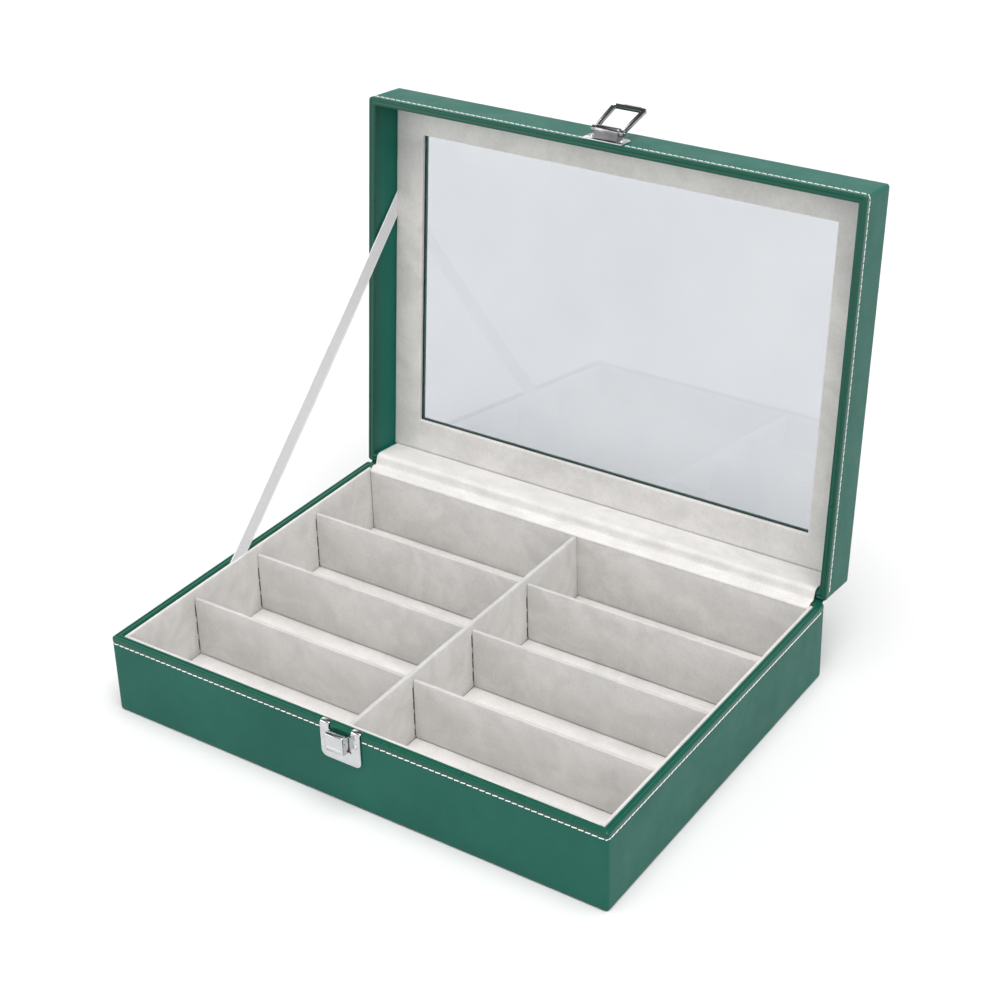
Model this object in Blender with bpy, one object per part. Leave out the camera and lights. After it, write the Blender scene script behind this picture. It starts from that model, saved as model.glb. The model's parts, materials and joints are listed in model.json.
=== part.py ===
"""Glasses organizer: a leather-covered case with eight velvet compartments and a glazed, hinged lid.

+Z is up, X runs along the case, the latch is on the -Y side and the hinge on the +Y side. The origin is the
middle of the case's underside. Lid pieces are modelled with the lid shut and hang from the empty lid_hinge,
which turns them to the open position; the latch loop hangs from latch_pivot in the same way.
"""

import collections
import math

import bmesh
import bpy
from mathutils import Matrix, Vector

MM = 0.001

# Driving dimensions, in metres.
CASE_WIDTH = 335 * MM
CASE_DEPTH = 247 * MM
BASE_HEIGHT = 50.5 * MM
LID_HEIGHT = 31 * MM
OPEN_ANGLE = math.radians(95.2)  # the lid leans back until the ribbon is tight
RIM_GAP = 1.2 * MM  # between the two rims when the lid is shut
CLEAR = 0.3 * MM  # between pieces that touch on the real case

SKIN = 0.8 * MM  # leather
BOARD = 2.6 * MM  # side boards
WALL = 2 * SKIN + BOARD + 2 * CLEAR
CORNER_RADIUS = 2 * MM
RIM_RADIUS = 1.3 * MM
CORNER_STEPS = 4
FLANGE = 8.5 * MM  # leather turned in under the base
SKIRT = 12 * MM  # leather turned down inside the base
HINGE_DIP = 1.1 * MM  # how far both rims drop along the hinge, to leave room for the cloth
DIP_HALF_WIDTH = 160.4 * MM
DIP_RAMP = 1.2 * MM

LINER = 2 * MM
FLOOR_TOP = 4.6 * MM
PAD = 1 * MM
DIVIDER = 2.5 * MM
CENTRE_DIVIDER = 3 * MM
DIVIDER_TOP = 44.5 * MM
CENTRE_DIVIDER_TOP = 48 * MM
BACK_LINER_TOP = 47.9 * MM
ROWS = 4

WINDOW_MARGIN = 25.3 * MM  # from the case's outside to the window, on three sides
WINDOW_BACK_EXTRA = 2 * MM  # the hinge side's margin is wider by this
FRAME_BOARD = 1.7 * MM
GLASS = 1.8 * MM
GLASS_OVERLAP = 10 * MM
MAT = 2.5 * MM
CLOTH = 0.6 * MM

PLATE = 0.8 * MM
PLATE_HALF_WIDTH = 13.5 * MM
KEEPER_BOTTOM = 28.7 * MM
TAB_WIDTH = 6 * MM
BOSS_HALF_WIDTH = 5.9 * MM
BRACKET_HALF_WIDTH = 7.8 * MM
RIVET_X = 10.2 * MM
RIVET_SHANK = 0.7 * MM
RIVET_HEAD = 1.4 * MM
PIVOT_RISE = 8.8 * MM  # latch pivot above the lid's rim
PIVOT_STAND_OFF = 5.4 * MM  # latch pivot out from the front of the case
PIN_RADIUS = 0.8 * MM
LOOP_LENGTH = 25 * MM
LOOP_HALF_WIDTH = 11.8 * MM
LOOP_ARM = 3 * MM
LOOP_THICKNESS = 1.2 * MM
LOOP_REST = math.radians(160)  # how far the loop is thrown back from its latched position

RIBBON_WIDTH = 11 * MM
RIBBON = 0.3 * MM
RIBBON_X = -161.6 * MM
RIBBON_BASE_Y = -17 * MM
RIBBON_LID_REACH = 174 * MM  # from the hinge, along the lid

HALF_WIDTH = CASE_WIDTH / 2
HALF_DEPTH = CASE_DEPTH / 2
HINGE = Vector((0, HALF_DEPTH, BASE_HEIGHT + RIM_GAP / 2))
LID_RIM = BASE_HEIGHT + RIM_GAP
LID_TOP = LID_RIM + LID_HEIGHT
GLASS_TOP = LID_TOP - SKIN - 2 * CLEAR - FRAME_BOARD
MAT_TOP = GLASS_TOP - GLASS - CLEAR
MAT_FACE = MAT_TOP - MAT
LATCH_PIVOT = Vector((0, -HALF_DEPTH - PIVOT_STAND_OFF, LID_RIM + PIVOT_RISE))

# A point of a swept section: distance in from the case's outside, height, how far the height shifts along the
# hinge's dip, and how much further in the point lies on the hinge side.
Spot = collections.namedtuple("Spot", "inset height dip back", defaults=(0, 0))

for leftover in list(bpy.data.objects):
    bpy.data.objects.remove(leftover, do_unlink=True)


def finish(name, colour, roughness, metallic=0.0):
    material = bpy.data.materials.new(name)
    material.use_nodes = True
    shader = material.node_tree.nodes["Principled BSDF"]
    shader.inputs["Base Color"].default_value = (*colour, 1)
    shader.inputs["Roughness"].default_value = roughness
    shader.inputs["Metallic"].default_value = metallic
    return material


LEATHER = finish("green_leather", (0.03, 0.15, 0.11), 0.5)
VELVET = finish("grey_velvet", (0.72, 0.7, 0.68), 0.95)
GREYBOARD = finish("greyboard", (0.42, 0.36, 0.29), 0.9)
PANE = finish("window_glass", (0.85, 0.88, 0.9), 0.05)
CHROME = finish("chrome", (0.85, 0.85, 0.87), 0.12, 1.0)
SATIN = finish("satin_ribbon", (0.86, 0.85, 0.84), 0.4)


def hinge_empty(name, location, angle, parent=None):
    """An empty on a joint's axis, turned about X from the shut position to the resting one."""
    empty = bpy.data.objects.new(name, None)
    bpy.context.scene.collection.objects.link(empty)
    empty.location = location
    empty.rotation_euler.x = angle
    empty.parent = parent
    return empty


lid_hinge = hinge_empty("lid_hinge", HINGE, -OPEN_ANGLE)
latch_pivot = hinge_empty("latch_pivot", LATCH_PIVOT - HINGE, -LOOP_REST, lid_hinge)
ORIGIN_OF = {None: Vector(), lid_hinge: HINGE, latch_pivot: LATCH_PIVOT}


def place(name, bm, material, parent=None):
    """Makes the object from a mesh drawn in shut-case coordinates."""
    bmesh.ops.remove_doubles(bm, verts=bm.verts, dist=1e-6)
    bmesh.ops.recalc_face_normals(bm, faces=bm.faces)
    bmesh.ops.translate(bm, verts=bm.verts, vec=-ORIGIN_OF[parent])
    mesh = bpy.data.meshes.new(name)
    bm.to_mesh(mesh)
    bm.free()
    mesh.materials.append(material)
    mesh.shade_smooth()
    mesh.set_sharp_from_angle(angle=math.radians(35))
    obj = bpy.data.objects.new(name, mesh)
    bpy.context.scene.collection.objects.link(obj)
    obj.parent = parent
    return obj


def box_mesh(low, high):
    bm = bmesh.new()
    bmesh.ops.create_cube(bm, size=1)
    low, high = Vector(low), Vector(high)
    bmesh.ops.scale(bm, verts=bm.verts, vec=high - low)
    bmesh.ops.translate(bm, verts=bm.verts, vec=(low + high) / 2)
    return bm


def block(name, low, high, material, parent=None, edge=0.0, segments=1):
    bm = box_mesh(low, high)
    if edge:
        bmesh.ops.bevel(
            bm, geom=bm.edges[:], offset=edge, segments=segments, profile=0.5, affect="EDGES"
        )
    return place(name, bm, material, parent)


def arc(centre_inset, centre_height, radius, start, end, steps=3, **extra):
    """Section points on a round edge; angles are in degrees, 0 towards larger inset and 90 up."""
    spots = []
    for step in range(steps + 1):
        angle = math.radians(start + (end - start) * step / steps)
        inset = centre_inset + radius * math.cos(angle)
        height = centre_height + radius * math.sin(angle)
        spots.append(Spot(inset, height, **extra))
    return spots


def corner_points(spot):
    """The outline at one section point: a rectangle with round corners, and stations for the hinge dip."""
    radius = max(CORNER_RADIUS - spot.inset, 0)
    right = HALF_WIDTH - spot.inset - radius
    front = -HALF_DEPTH + spot.inset + radius
    back = HALF_DEPTH - spot.inset - spot.back - radius
    points = []
    for centre_x, centre_y, start in (
        (right, front, -90),
        (right, back, 0),
        (-right, back, 90),
        (-right, front, 180),
    ):
        for step in range(CORNER_STEPS + 1):
            angle = math.radians(start + 90 * step / CORNER_STEPS)
            x = centre_x + radius * math.cos(angle)
            y = centre_y + radius * math.sin(angle)
            points.append(Vector((x, y, spot.height)))
        if start == 0 and spot.inset < WALL + CLEAR:
            for x, share in dip_stations():
                height = spot.height + spot.dip * share
                points.append(Vector((x, back + radius, height)))
        elif start == 0:
            points.extend(points[-1].copy() for _ in dip_stations())
    return points


def dip_stations():
    outer = DIP_HALF_WIDTH + DIP_RAMP
    return ((outer, 0), (DIP_HALF_WIDTH, 1), (-DIP_HALF_WIDTH, 1), (-outer, 0))


def swept_ring(name, section, material, parent=None):
    """A closed section carried round the case's outline."""
    bm = bmesh.new()
    rings = [[bm.verts.new(point) for point in corner_points(spot)] for spot in section]
    count = len(rings[0])
    for ring, after in zip(rings, rings[1:] + rings[:1]):
        for index in range(count):
            following = (index + 1) % count
            bm.faces.new((ring[index], ring[following], after[following], after[index]))
    return place(name, bm, material, parent)


def extruded(points, vector):
    """A flat outline pushed along a vector."""
    bm = bmesh.new()
    face = bm.faces.new([bm.verts.new(point) for point in points])
    pushed = bmesh.ops.extrude_face_region(bm, geom=[face])["geom"]
    corners = [item for item in pushed if isinstance(item, bmesh.types.BMVert)]
    bmesh.ops.translate(bm, verts=corners, vec=vector)
    return bm


def along_x(outline, low_x, high_x):
    """A (y, z) outline extruded along X."""
    return extruded([(low_x, y, z) for y, z in outline], (high_x - low_x, 0, 0))


def strip_outline(path, thickness):
    """The outline of a thin strip whose middle follows a (y, z) path."""
    points = [Vector(point) for point in path]
    sides = ([], [])
    for index, point in enumerate(points):
        before = points[max(index - 1, 0)]
        after = points[min(index + 1, len(points) - 1)]
        into = (point - before).normalized() if index else (after - point).normalized()
        out = (after - point).normalized() if index < len(points) - 1 else into
        normal = Vector((-(into + out).y, (into + out).x)).normalized()
        reach = thickness / 2 / max(normal.dot(Vector((-into.y, into.x))), 0.5)
        sides[0].append(point + normal * reach)
        sides[1].append(point - normal * reach)
    return sides[0] + sides[1][::-1]


def boolean(obj, helper, operation):
    helper.hide_render = True
    helper.display_type = "WIRE"
    modifier = obj.modifiers.new(operation.lower(), "BOOLEAN")
    modifier.object = helper
    modifier.operation = operation
    modifier.solver = "EXACT"


def cylinder_y(x, z, radius, low_y, high_y, segments=16):
    bm = bmesh.new()
    bmesh.ops.create_cone(
        bm,
        cap_ends=True,
        segments=segments,
        radius1=radius,
        radius2=radius,
        depth=high_y - low_y,
        matrix=Matrix.Translation((x, (low_y + high_y) / 2, z)) @ Matrix.Rotation(math.pi / 2, 4, "X"),
    )
    return bm


def cylinder_x(y, z, radius, low_x, high_x, segments=16):
    bm = bmesh.new()
    bmesh.ops.create_cone(
        bm,
        cap_ends=True,
        segments=segments,
        radius1=radius,
        radius2=radius,
        depth=high_x - low_x,
        matrix=Matrix.Translation(((low_x + high_x) / 2, y, z)) @ Matrix.Rotation(math.pi / 2, 4, "Y"),
    )
    return bm


def side_boards(prefix, low_z, high_z, back_low_z, back_high_z, parent=None):
    """Four boards inside the leather: front and back run the full width, the sides fit between them."""
    outer_x = HALF_WIDTH - SKIN - CLEAR
    outer_y = HALF_DEPTH - SKIN - CLEAR
    inner_x = outer_x - BOARD
    inner_y = outer_y - BOARD
    side_y = inner_y - CLEAR
    edge = 0.5 * MM
    front = block(
        prefix + "_front_board",
        (-outer_x, -outer_y, low_z),
        (outer_x, -inner_y, high_z),
        GREYBOARD,
        parent,
        edge,
    )
    block(
        prefix + "_back_board",
        (-outer_x, inner_y, back_low_z),
        (outer_x, outer_y, back_high_z),
        GREYBOARD,
        parent,
        edge,
    )
    for side, name in ((-1, "_left_board"), (1, "_right_board")):
        low_x, high_x = sorted((side * inner_x, side * outer_x))
        block(prefix + name, (low_x, -side_y, low_z), (high_x, side_y, high_z), GREYBOARD, parent, edge)
    return front


def base_leather():
    rim = BASE_HEIGHT
    under = rim - SKIN
    section = [
        Spot(FLANGE, 0.2 * MM),
        Spot(0.6 * MM, 0.2 * MM),
        Spot(0, 0.8 * MM),
        *arc(RIM_RADIUS, rim - RIM_RADIUS, RIM_RADIUS, 180, 90, dip=-HINGE_DIP),
        *arc(WALL - MM, rim - MM, MM, 90, 0, dip=-HINGE_DIP),
        Spot(WALL, rim - SKIRT),
        Spot(WALL - SKIN, rim - SKIRT),
        Spot(WALL - SKIN, under, -HINGE_DIP),
        Spot(SKIN, under, -HINGE_DIP),
        Spot(SKIN, MM),
        Spot(FLANGE, MM),
    ]
    return swept_ring("base_leather", section, LEATHER)


def base_shell():
    low_z = MM + CLEAR
    high_z = BASE_HEIGHT - SKIN - CLEAR
    front = side_boards("base", low_z, high_z, low_z, high_z - HINGE_DIP)
    inner_x = HALF_WIDTH - SKIN - CLEAR - BOARD - CLEAR
    inner_y = HALF_DEPTH - SKIN - CLEAR - BOARD - CLEAR
    floor_top = FLOOR_TOP - PAD - CLEAR
    block("base_floor_board", (-inner_x, -inner_y, low_z), (inner_x, inner_y, floor_top), GREYBOARD)
    cover_x = HALF_WIDTH - FLANGE - CLEAR
    cover_y = HALF_DEPTH - FLANGE - CLEAR
    block("base_underside_cover", (-cover_x, -cover_y, 0), (cover_x, cover_y, MM), LEATHER)
    return front


def base_lining():
    outer_x = HALF_WIDTH - WALL - CLEAR
    outer_y = HALF_DEPTH - WALL - CLEAR
    inner_x = outer_x - LINER
    inner_y = outer_y - LINER
    low_z = FLOOR_TOP - PAD
    high_z = BASE_HEIGHT - 0.7 * MM
    edge = 0.6 * MM
    for side, name in ((-1, "left_liner"), (1, "right_liner")):
        low_x, high_x = sorted((side * inner_x, side * outer_x))
        block(name, (low_x, -outer_y, low_z), (high_x, outer_y, high_z), VELVET, None, edge, 2)
    end_x = inner_x - CLEAR
    block("front_liner", (-end_x, -outer_y, low_z), (end_x, -inner_y, high_z), VELVET, None, edge, 2)
    back_top = BACK_LINER_TOP
    block("back_liner", (-end_x, inner_y, low_z), (end_x, outer_y, back_top), VELVET, None, edge, 2)

    half = CENTRE_DIVIDER / 2
    pad_y = inner_y - CLEAR
    for side, name in ((-1, "left_floor_pad"), (1, "right_floor_pad")):
        low_x, high_x = sorted((side * (half + CLEAR), side * end_x))
        block(name, (low_x, -pad_y, low_z), (high_x, pad_y, FLOOR_TOP), VELVET)
    top = CENTRE_DIVIDER_TOP
    block("centre_divider", (-half, -pad_y, low_z), (half, pad_y, top), VELVET, None, 0.9 * MM, 2)

    pitch = (2 * inner_y + DIVIDER) / ROWS
    for row in range(1, ROWS):
        middle = -inner_y + row * pitch - DIVIDER / 2
        for side, column in ((-1, "left"), (1, "right")):
            low_x, high_x = sorted((side * (half + CLEAR), side * end_x))
            block(
                f"{column}_divider_{row}",
                (low_x, middle - DIVIDER / 2, FLOOR_TOP + CLEAR),
                (high_x, middle + DIVIDER / 2, DIVIDER_TOP),
                VELVET,
                None,
                0.8 * MM,
                2,
            )


def lid_leather():
    rim = LID_RIM
    over = rim + SKIN
    window = WINDOW_MARGIN
    extra = WINDOW_BACK_EXTRA
    section = [
        *arc(RIM_RADIUS, rim + RIM_RADIUS, RIM_RADIUS, 180, 270, dip=HINGE_DIP),
        *arc(WALL - MM, rim + MM, MM, 270, 360, dip=HINGE_DIP),
        Spot(WALL, MAT_TOP + CLEAR),
        Spot(WALL - SKIN, MAT_TOP + CLEAR),
        Spot(WALL - SKIN, over, HINGE_DIP),
        Spot(SKIN, over, HINGE_DIP),
        Spot(SKIN, LID_TOP - SKIN),
        Spot(window - SKIN, LID_TOP - SKIN, 0, extra),
        Spot(window - SKIN, GLASS_TOP + CLEAR, 0, extra),
        Spot(window, GLASS_TOP + CLEAR, 0, extra),
        Spot(window, LID_TOP - 0.7 * MM, 0, extra),
        Spot(window - 0.2 * MM, LID_TOP - 0.2 * MM, 0, extra),
        Spot(window - 0.7 * MM, LID_TOP, 0, extra),
        *arc(RIM_RADIUS, LID_TOP - RIM_RADIUS, RIM_RADIUS, 90, 180),
    ]
    return swept_ring("lid_leather", section, LEATHER, lid_hinge)


def lid_shell():
    low_z = LID_RIM + SKIN + CLEAR
    high_z = GLASS_TOP
    front = side_boards("lid", low_z, high_z, low_z + HINGE_DIP, high_z, lid_hinge)
    outer = SKIN + CLEAR + 0.5 * MM
    inner = WINDOW_MARGIN - SKIN - CLEAR
    low, high = GLASS_TOP + CLEAR, GLASS_TOP + CLEAR + FRAME_BOARD
    section = [
        Spot(outer, low),
        Spot(inner, low, 0, WINDOW_BACK_EXTRA),
        Spot(inner, high, 0, WINDOW_BACK_EXTRA),
        Spot(outer, high),
    ]
    swept_ring("lid_frame_board", section, GREYBOARD, lid_hinge)
    return front


def lid_glazing():
    half_x = HALF_WIDTH - WINDOW_MARGIN + GLASS_OVERLAP
    front = -HALF_DEPTH + WINDOW_MARGIN - GLASS_OVERLAP
    back = HALF_DEPTH - WINDOW_MARGIN - WINDOW_BACK_EXTRA + GLASS_OVERLAP
    low_z = GLASS_TOP - GLASS
    block("window_glass", (-half_x, front, low_z), (half_x, back, GLASS_TOP), PANE, lid_hinge)
    outer = WALL + CLEAR
    inner = WINDOW_MARGIN
    extra = WINDOW_BACK_EXTRA
    section = [
        Spot(outer, MAT_FACE + 0.4 * MM),
        Spot(outer + 0.4 * MM, MAT_FACE),
        Spot(inner - 0.8 * MM, MAT_FACE, 0, extra),
        Spot(inner - 0.2 * MM, MAT_FACE + 0.2 * MM, 0, extra),
        Spot(inner, MAT_FACE + 0.8 * MM, 0, extra),
        Spot(inner, MAT_TOP, 0, extra),
        Spot(outer, MAT_TOP),
    ]
    swept_ring("lid_mat", section, VELVET, lid_hinge)


def on_open_lid(reach, rise):
    """World (y, z) of a point on the open lid: its distance along the lid from the hinge, and its rise above
    the lid's rim as the lid lies shut."""
    shut = Vector((0, -reach, LID_RIM - HINGE.z + rise))
    opened = Matrix.Rotation(-OPEN_ANGLE, 3, "X") @ shut
    return HINGE.y + opened.y, HINGE.z + opened.z


def fabric_hinges():
    """The velvet that bridges the hinge inside the case, and the leather strip outside it."""
    middle = CLEAR + CLOTH / 2
    rim = BASE_HEIGHT - HINGE_DIP + middle
    wall = WALL + middle
    mat = MAT_FACE - LID_RIM - CLEAR
    inside = [
        (HALF_DEPTH - WALL - LINER + 0.5 * MM, BACK_LINER_TOP + middle),
        (HALF_DEPTH - WALL - 0.6 * MM, rim - 0.9 * MM),
        (HALF_DEPTH - WALL + 0.6 * MM, rim),
        (HALF_DEPTH - 1.2 * MM, rim),
        (HALF_DEPTH + 0.2 * MM, rim + 0.6 * MM),
        on_open_lid(1.4 * MM, HINGE_DIP - middle),
        on_open_lid(WALL - 0.6 * MM, HINGE_DIP - middle),
        on_open_lid(wall, HINGE_DIP + 0.8 * MM),
        on_open_lid(wall, mat),
    ]
    half = DIP_HALF_WIDTH - CLEAR
    outline = strip_outline(inside, CLOTH)
    place("hinge_cloth", along_x(outline, -half, half), VELVET)

    reach = 11 * MM
    off = CLEAR + SKIN / 2
    outside = [
        (HALF_DEPTH + off, BASE_HEIGHT - reach),
        (HALF_DEPTH + off, BASE_HEIGHT - 2 * MM),
        (HALF_DEPTH + off + 1.2 * MM, BASE_HEIGHT - 0.8 * MM),
        on_open_lid(-off, 2.4 * MM),
        on_open_lid(-off, reach),
    ]
    half = HALF_WIDTH - 6 * MM
    place("hinge_strip", along_x(strip_outline(outside, SKIN), -half, half), LEATHER)


def ribbon():
    foot_z = BASE_HEIGHT - 0.4 * MM
    rise = MAT_FACE - LID_RIM - CLEAR
    head = Vector(on_open_lid(RIBBON_LID_REACH, rise))
    run = (head - Vector((RIBBON_BASE_Y, foot_z))).normalized()
    foot_half = RIBBON_WIDTH / 2 / run.y
    head_half = RIBBON_WIDTH / 2 / abs(run.dot(Vector(on_open_lid(0, 1)) - Vector(on_open_lid(0, 0))))
    outline = [
        (RIBBON_BASE_Y - foot_half, foot_z),
        (RIBBON_BASE_Y + foot_half, foot_z),
        on_open_lid(RIBBON_LID_REACH - head_half, rise),
        on_open_lid(RIBBON_LID_REACH + head_half, rise),
    ]
    bm = along_x(outline, RIBBON_X - RIBBON / 2, RIBBON_X + RIBBON / 2)
    place("ribbon_stay", bm, SATIN)


def rounded_plate(half_width, low_z, high_z, front_y, round_low, radius=3.2 * MM):
    """An upright plate of two square and two round corners, its front face at front_y."""
    points = []
    square_z, round_z = (high_z, low_z) if round_low else (low_z, high_z)
    turn = 1 if round_low else -1
    for side in (-1, 1):
        points.append(Vector((side * half_width, square_z)))
        centre = Vector((side * (half_width - radius), round_z + turn * radius))
        steps = [math.pi / 2 * step / 4 for step in range(5)]
        curve = [
            centre + radius * Vector((side * math.cos(angle), -turn * math.sin(angle))) for angle in steps
        ]
        if side > 0:
            points.extend(curve)
            points[-6:] = points[-6:][::-1]
        else:
            points.extend(curve)
    corners = [(point.x, front_y, point.y) for point in points]
    return extruded(corners, (0, PLATE, 0))


def rivet_cutters(tag, z):
    """Holes for a pair of rivets, through the plate, the leather and the board."""
    low_y = -HALF_DEPTH - 3 * MM
    high_y = -HALF_DEPTH + 3 * MM
    cutters = []
    for side in (-1, 1):
        bm = cylinder_y(side * RIVET_X, z, RIVET_SHANK + CLEAR, low_y, high_y, 12)
        parent = lid_hinge if tag == "lid" else None
        cutters.append(place(f"{tag}_rivet_cutter_{side + 2}", bm, CHROME, parent))
    return cutters


def rivets(tag, z, plate_front, parent):
    """Domed rivets, turned about their own axis."""
    profile = [(0, -0.75), (0.75, -0.6), (1.2, -0.28), (1.4, 0.08), (1.4, 0.25)]
    for side, name in ((-1, "left"), (1, "right")):
        bm = bmesh.new()
        start = Vector((side * RIVET_X, plate_front - CLEAR - 0.25 * MM, z))
        points = [start + Vector((radius * MM, depth * MM, 0)) for radius, depth in profile]
        back = -HALF_DEPTH + 2.4 * MM
        points.append(Vector((start.x + RIVET_SHANK, points[-1].y, z)))
        points.append(Vector((start.x + RIVET_SHANK, back, z)))
        points.append(Vector((start.x, back, z)))
        corners = [bm.verts.new(point) for point in points]
        edges = [bm.edges.new(pair) for pair in zip(corners, corners[1:])]
        bmesh.ops.spin(
            bm,
            geom=corners + edges,
            cent=start,
            axis=(0, 1, 0),
            angle=2 * math.pi,
            steps=12,
            use_merge=True,
            use_duplicate=False,
        )
        place(f"{tag}_latch_{name}_rivet", bm, CHROME, parent)


def keeper(z_rivets):
    """The base's half of the latch: a plate hooked over the rim, with a boss that the loop snaps under."""
    front_y = -HALF_DEPTH - CLEAR - PLATE
    top = BASE_HEIGHT - 3.2 * MM
    bm = rounded_plate(PLATE_HALF_WIDTH, KEEPER_BOTTOM, top, front_y, True)
    plate = place("latch_keeper", bm, CHROME)
    tab = [
        (front_y, top - MM),
        (front_y + PLATE, top - MM),
        (front_y + PLATE, BASE_HEIGHT - 0.9 * MM),
        (front_y + PLATE + 0.9 * MM, BASE_HEIGHT + CLEAR),
        (front_y + PLATE + 2.4 * MM, BASE_HEIGHT + CLEAR),
        (front_y + PLATE + 2.4 * MM, BASE_HEIGHT + CLEAR + 0.5 * MM),
        (front_y + PLATE + 0.4 * MM, BASE_HEIGHT + CLEAR + 0.5 * MM),
        (front_y, BASE_HEIGHT - 0.4 * MM),
    ]
    for side in (-1, 1):
        low_x, high_x = sorted((side * PLATE_HALF_WIDTH, side * (PLATE_HALF_WIDTH - TAB_WIDTH)))
        helper = place(f"keeper_tab_{side + 2}", along_x(tab, low_x, high_x), CHROME)
        boolean(plate, helper, "UNION")
    boss = [(-0.3, 49.3), (1.4, 49.9), (5.7, 49.4), (5.8, 48.7), (5.0, 48.2), (5.2, 46.5)]
    boss += [(5.8, 43.5), (5.9, 40.5), (5.4, 38.2), (4.4, 37.6), (2.0, 38.6), (-0.3, 38.8)]
    outline = [(front_y - out * MM, z * MM) for out, z in boss]
    helper = place("keeper_boss", along_x(outline, -BOSS_HALF_WIDTH, BOSS_HALF_WIDTH), CHROME)
    boolean(plate, helper, "UNION")
    cutters = rivet_cutters("base", z_rivets)
    for cutter in cutters:
        boolean(plate, cutter, "DIFFERENCE")
    rivets("base", z_rivets, front_y, None)
    return cutters


def bracket(z_rivets):
    """The lid's half of the latch: a plate with a round-backed knuckle that carries the pin."""
    front_y = -HALF_DEPTH - CLEAR - PLATE
    low_z = LID_RIM + 1.2 * MM
    high_z = LID_RIM + 14 * MM
    bm = rounded_plate(PLATE_HALF_WIDTH, low_z, high_z, front_y, False)
    plate = place("latch_bracket", bm, CHROME, lid_hinge)
    centre_y, centre_z = LATCH_PIVOT.y, LATCH_PIVOT.z
    radius = 2.6 * MM
    knuckle = [(front_y + 0.2 * MM, centre_z - 3.6 * MM), (centre_y, centre_z - radius)]
    for step in range(1, 8):
        angle = -math.pi / 2 - math.pi * step / 8
        knuckle.append((centre_y + radius * math.cos(angle), centre_z + radius * math.sin(angle)))
    knuckle += [(centre_y, centre_z + radius), (front_y + 0.2 * MM, centre_z + 3.6 * MM)]
    width = BRACKET_HALF_WIDTH
    helper = place("bracket_knuckle", along_x(knuckle, -width, width), CHROME, lid_hinge)
    boolean(plate, helper, "UNION")
    bm = cylinder_x(centre_y, centre_z, PIN_RADIUS + CLEAR, -2 * width, 2 * width)
    boolean(plate, place("bracket_bore", bm, CHROME, lid_hinge), "DIFFERENCE")
    cutters = rivet_cutters("lid", z_rivets)
    for cutter in cutters:
        boolean(plate, cutter, "DIFFERENCE")
    rivets("lid", z_rivets, front_y, lid_hinge)
    reach = LOOP_HALF_WIDTH + 0.4 * MM
    place("latch_pin", cylinder_x(centre_y, centre_z, PIN_RADIUS, -reach, reach), CHROME, lid_hinge)
    return cutters


def latch_loop():
    """Two arms that turn on the pin, joined by a bar with a finger tab; drawn hanging straight down."""
    y, z = LATCH_PIVOT.y, LATCH_PIVOT.z
    half = LOOP_THICKNESS / 2
    bar_low = z - LOOP_LENGTH - 1.7 * MM
    bar_high = z - LOOP_LENGTH + 1.7 * MM
    bm = box_mesh((-LOOP_HALF_WIDTH, y - half, bar_low), (LOOP_HALF_WIDTH, y + half, bar_high))
    loop = place("latch_loop", bm, CHROME, latch_pivot)
    eye = 2 * MM
    arm = [(y + half, bar_low + MM), (y + half, z - 1.9 * MM)]
    for step in range(11):
        angle = math.radians(-60 + 300 * step / 10)
        arm.append((y + eye * math.cos(angle), z + eye * math.sin(angle)))
    arm += [(y - half, z - 1.9 * MM), (y - half, bar_low + MM)]
    inner = LOOP_HALF_WIDTH - LOOP_ARM
    for side in (-1, 1):
        low_x, high_x = sorted((side * inner, side * (LOOP_HALF_WIDTH - 0.01 * MM)))
        helper = place(f"loop_arm_{side + 2}", along_x(arm, low_x, high_x), CHROME, latch_pivot)
        boolean(loop, helper, "UNION")
    tab = [
        (y + half - 0.1 * MM, bar_low + MM),
        (y + half - 0.1 * MM, bar_low - 0.2 * MM),
        (y - 0.4 * MM, bar_low - 2 * MM),
        (y - 1.6 * MM, bar_low - 3.1 * MM),
        (y - 2.1 * MM, bar_low - 2.4 * MM),
        (y - 1.2 * MM, bar_low - 1.5 * MM),
        (y - half + 0.1 * MM, bar_low),
        (y - half + 0.1 * MM, bar_low + MM),
    ]
    helper = place("loop_tab", along_x(tab, -4.5 * MM, 4.5 * MM), CHROME, latch_pivot)
    boolean(loop, helper, "UNION")
    reach = 2 * LOOP_HALF_WIDTH
    bore = place("loop_bore", cylinder_x(y, z, PIN_RADIUS + CLEAR, -reach, reach), CHROME, latch_pivot)
    boolean(loop, bore, "DIFFERENCE")


def main():
    base_skin = base_leather()
    base_front = base_shell()
    base_lining()
    lid_skin = lid_leather()
    lid_front = lid_shell()
    lid_glazing()
    fabric_hinges()
    ribbon()
    for cutter in keeper(42 * MM):
        boolean(base_skin, cutter, "DIFFERENCE")
        boolean(base_front, cutter, "DIFFERENCE")
    for cutter in bracket(LID_RIM + 7 * MM):
        boolean(lid_skin, cutter, "DIFFERENCE")
        boolean(lid_front, cutter, "DIFFERENCE")
    latch_loop()


main()
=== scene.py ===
import json
import math
import random

import bmesh
import bpy
from bmesh.types import BMEdge, BMVert
from mathutils import Matrix, Vector, noise


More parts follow.
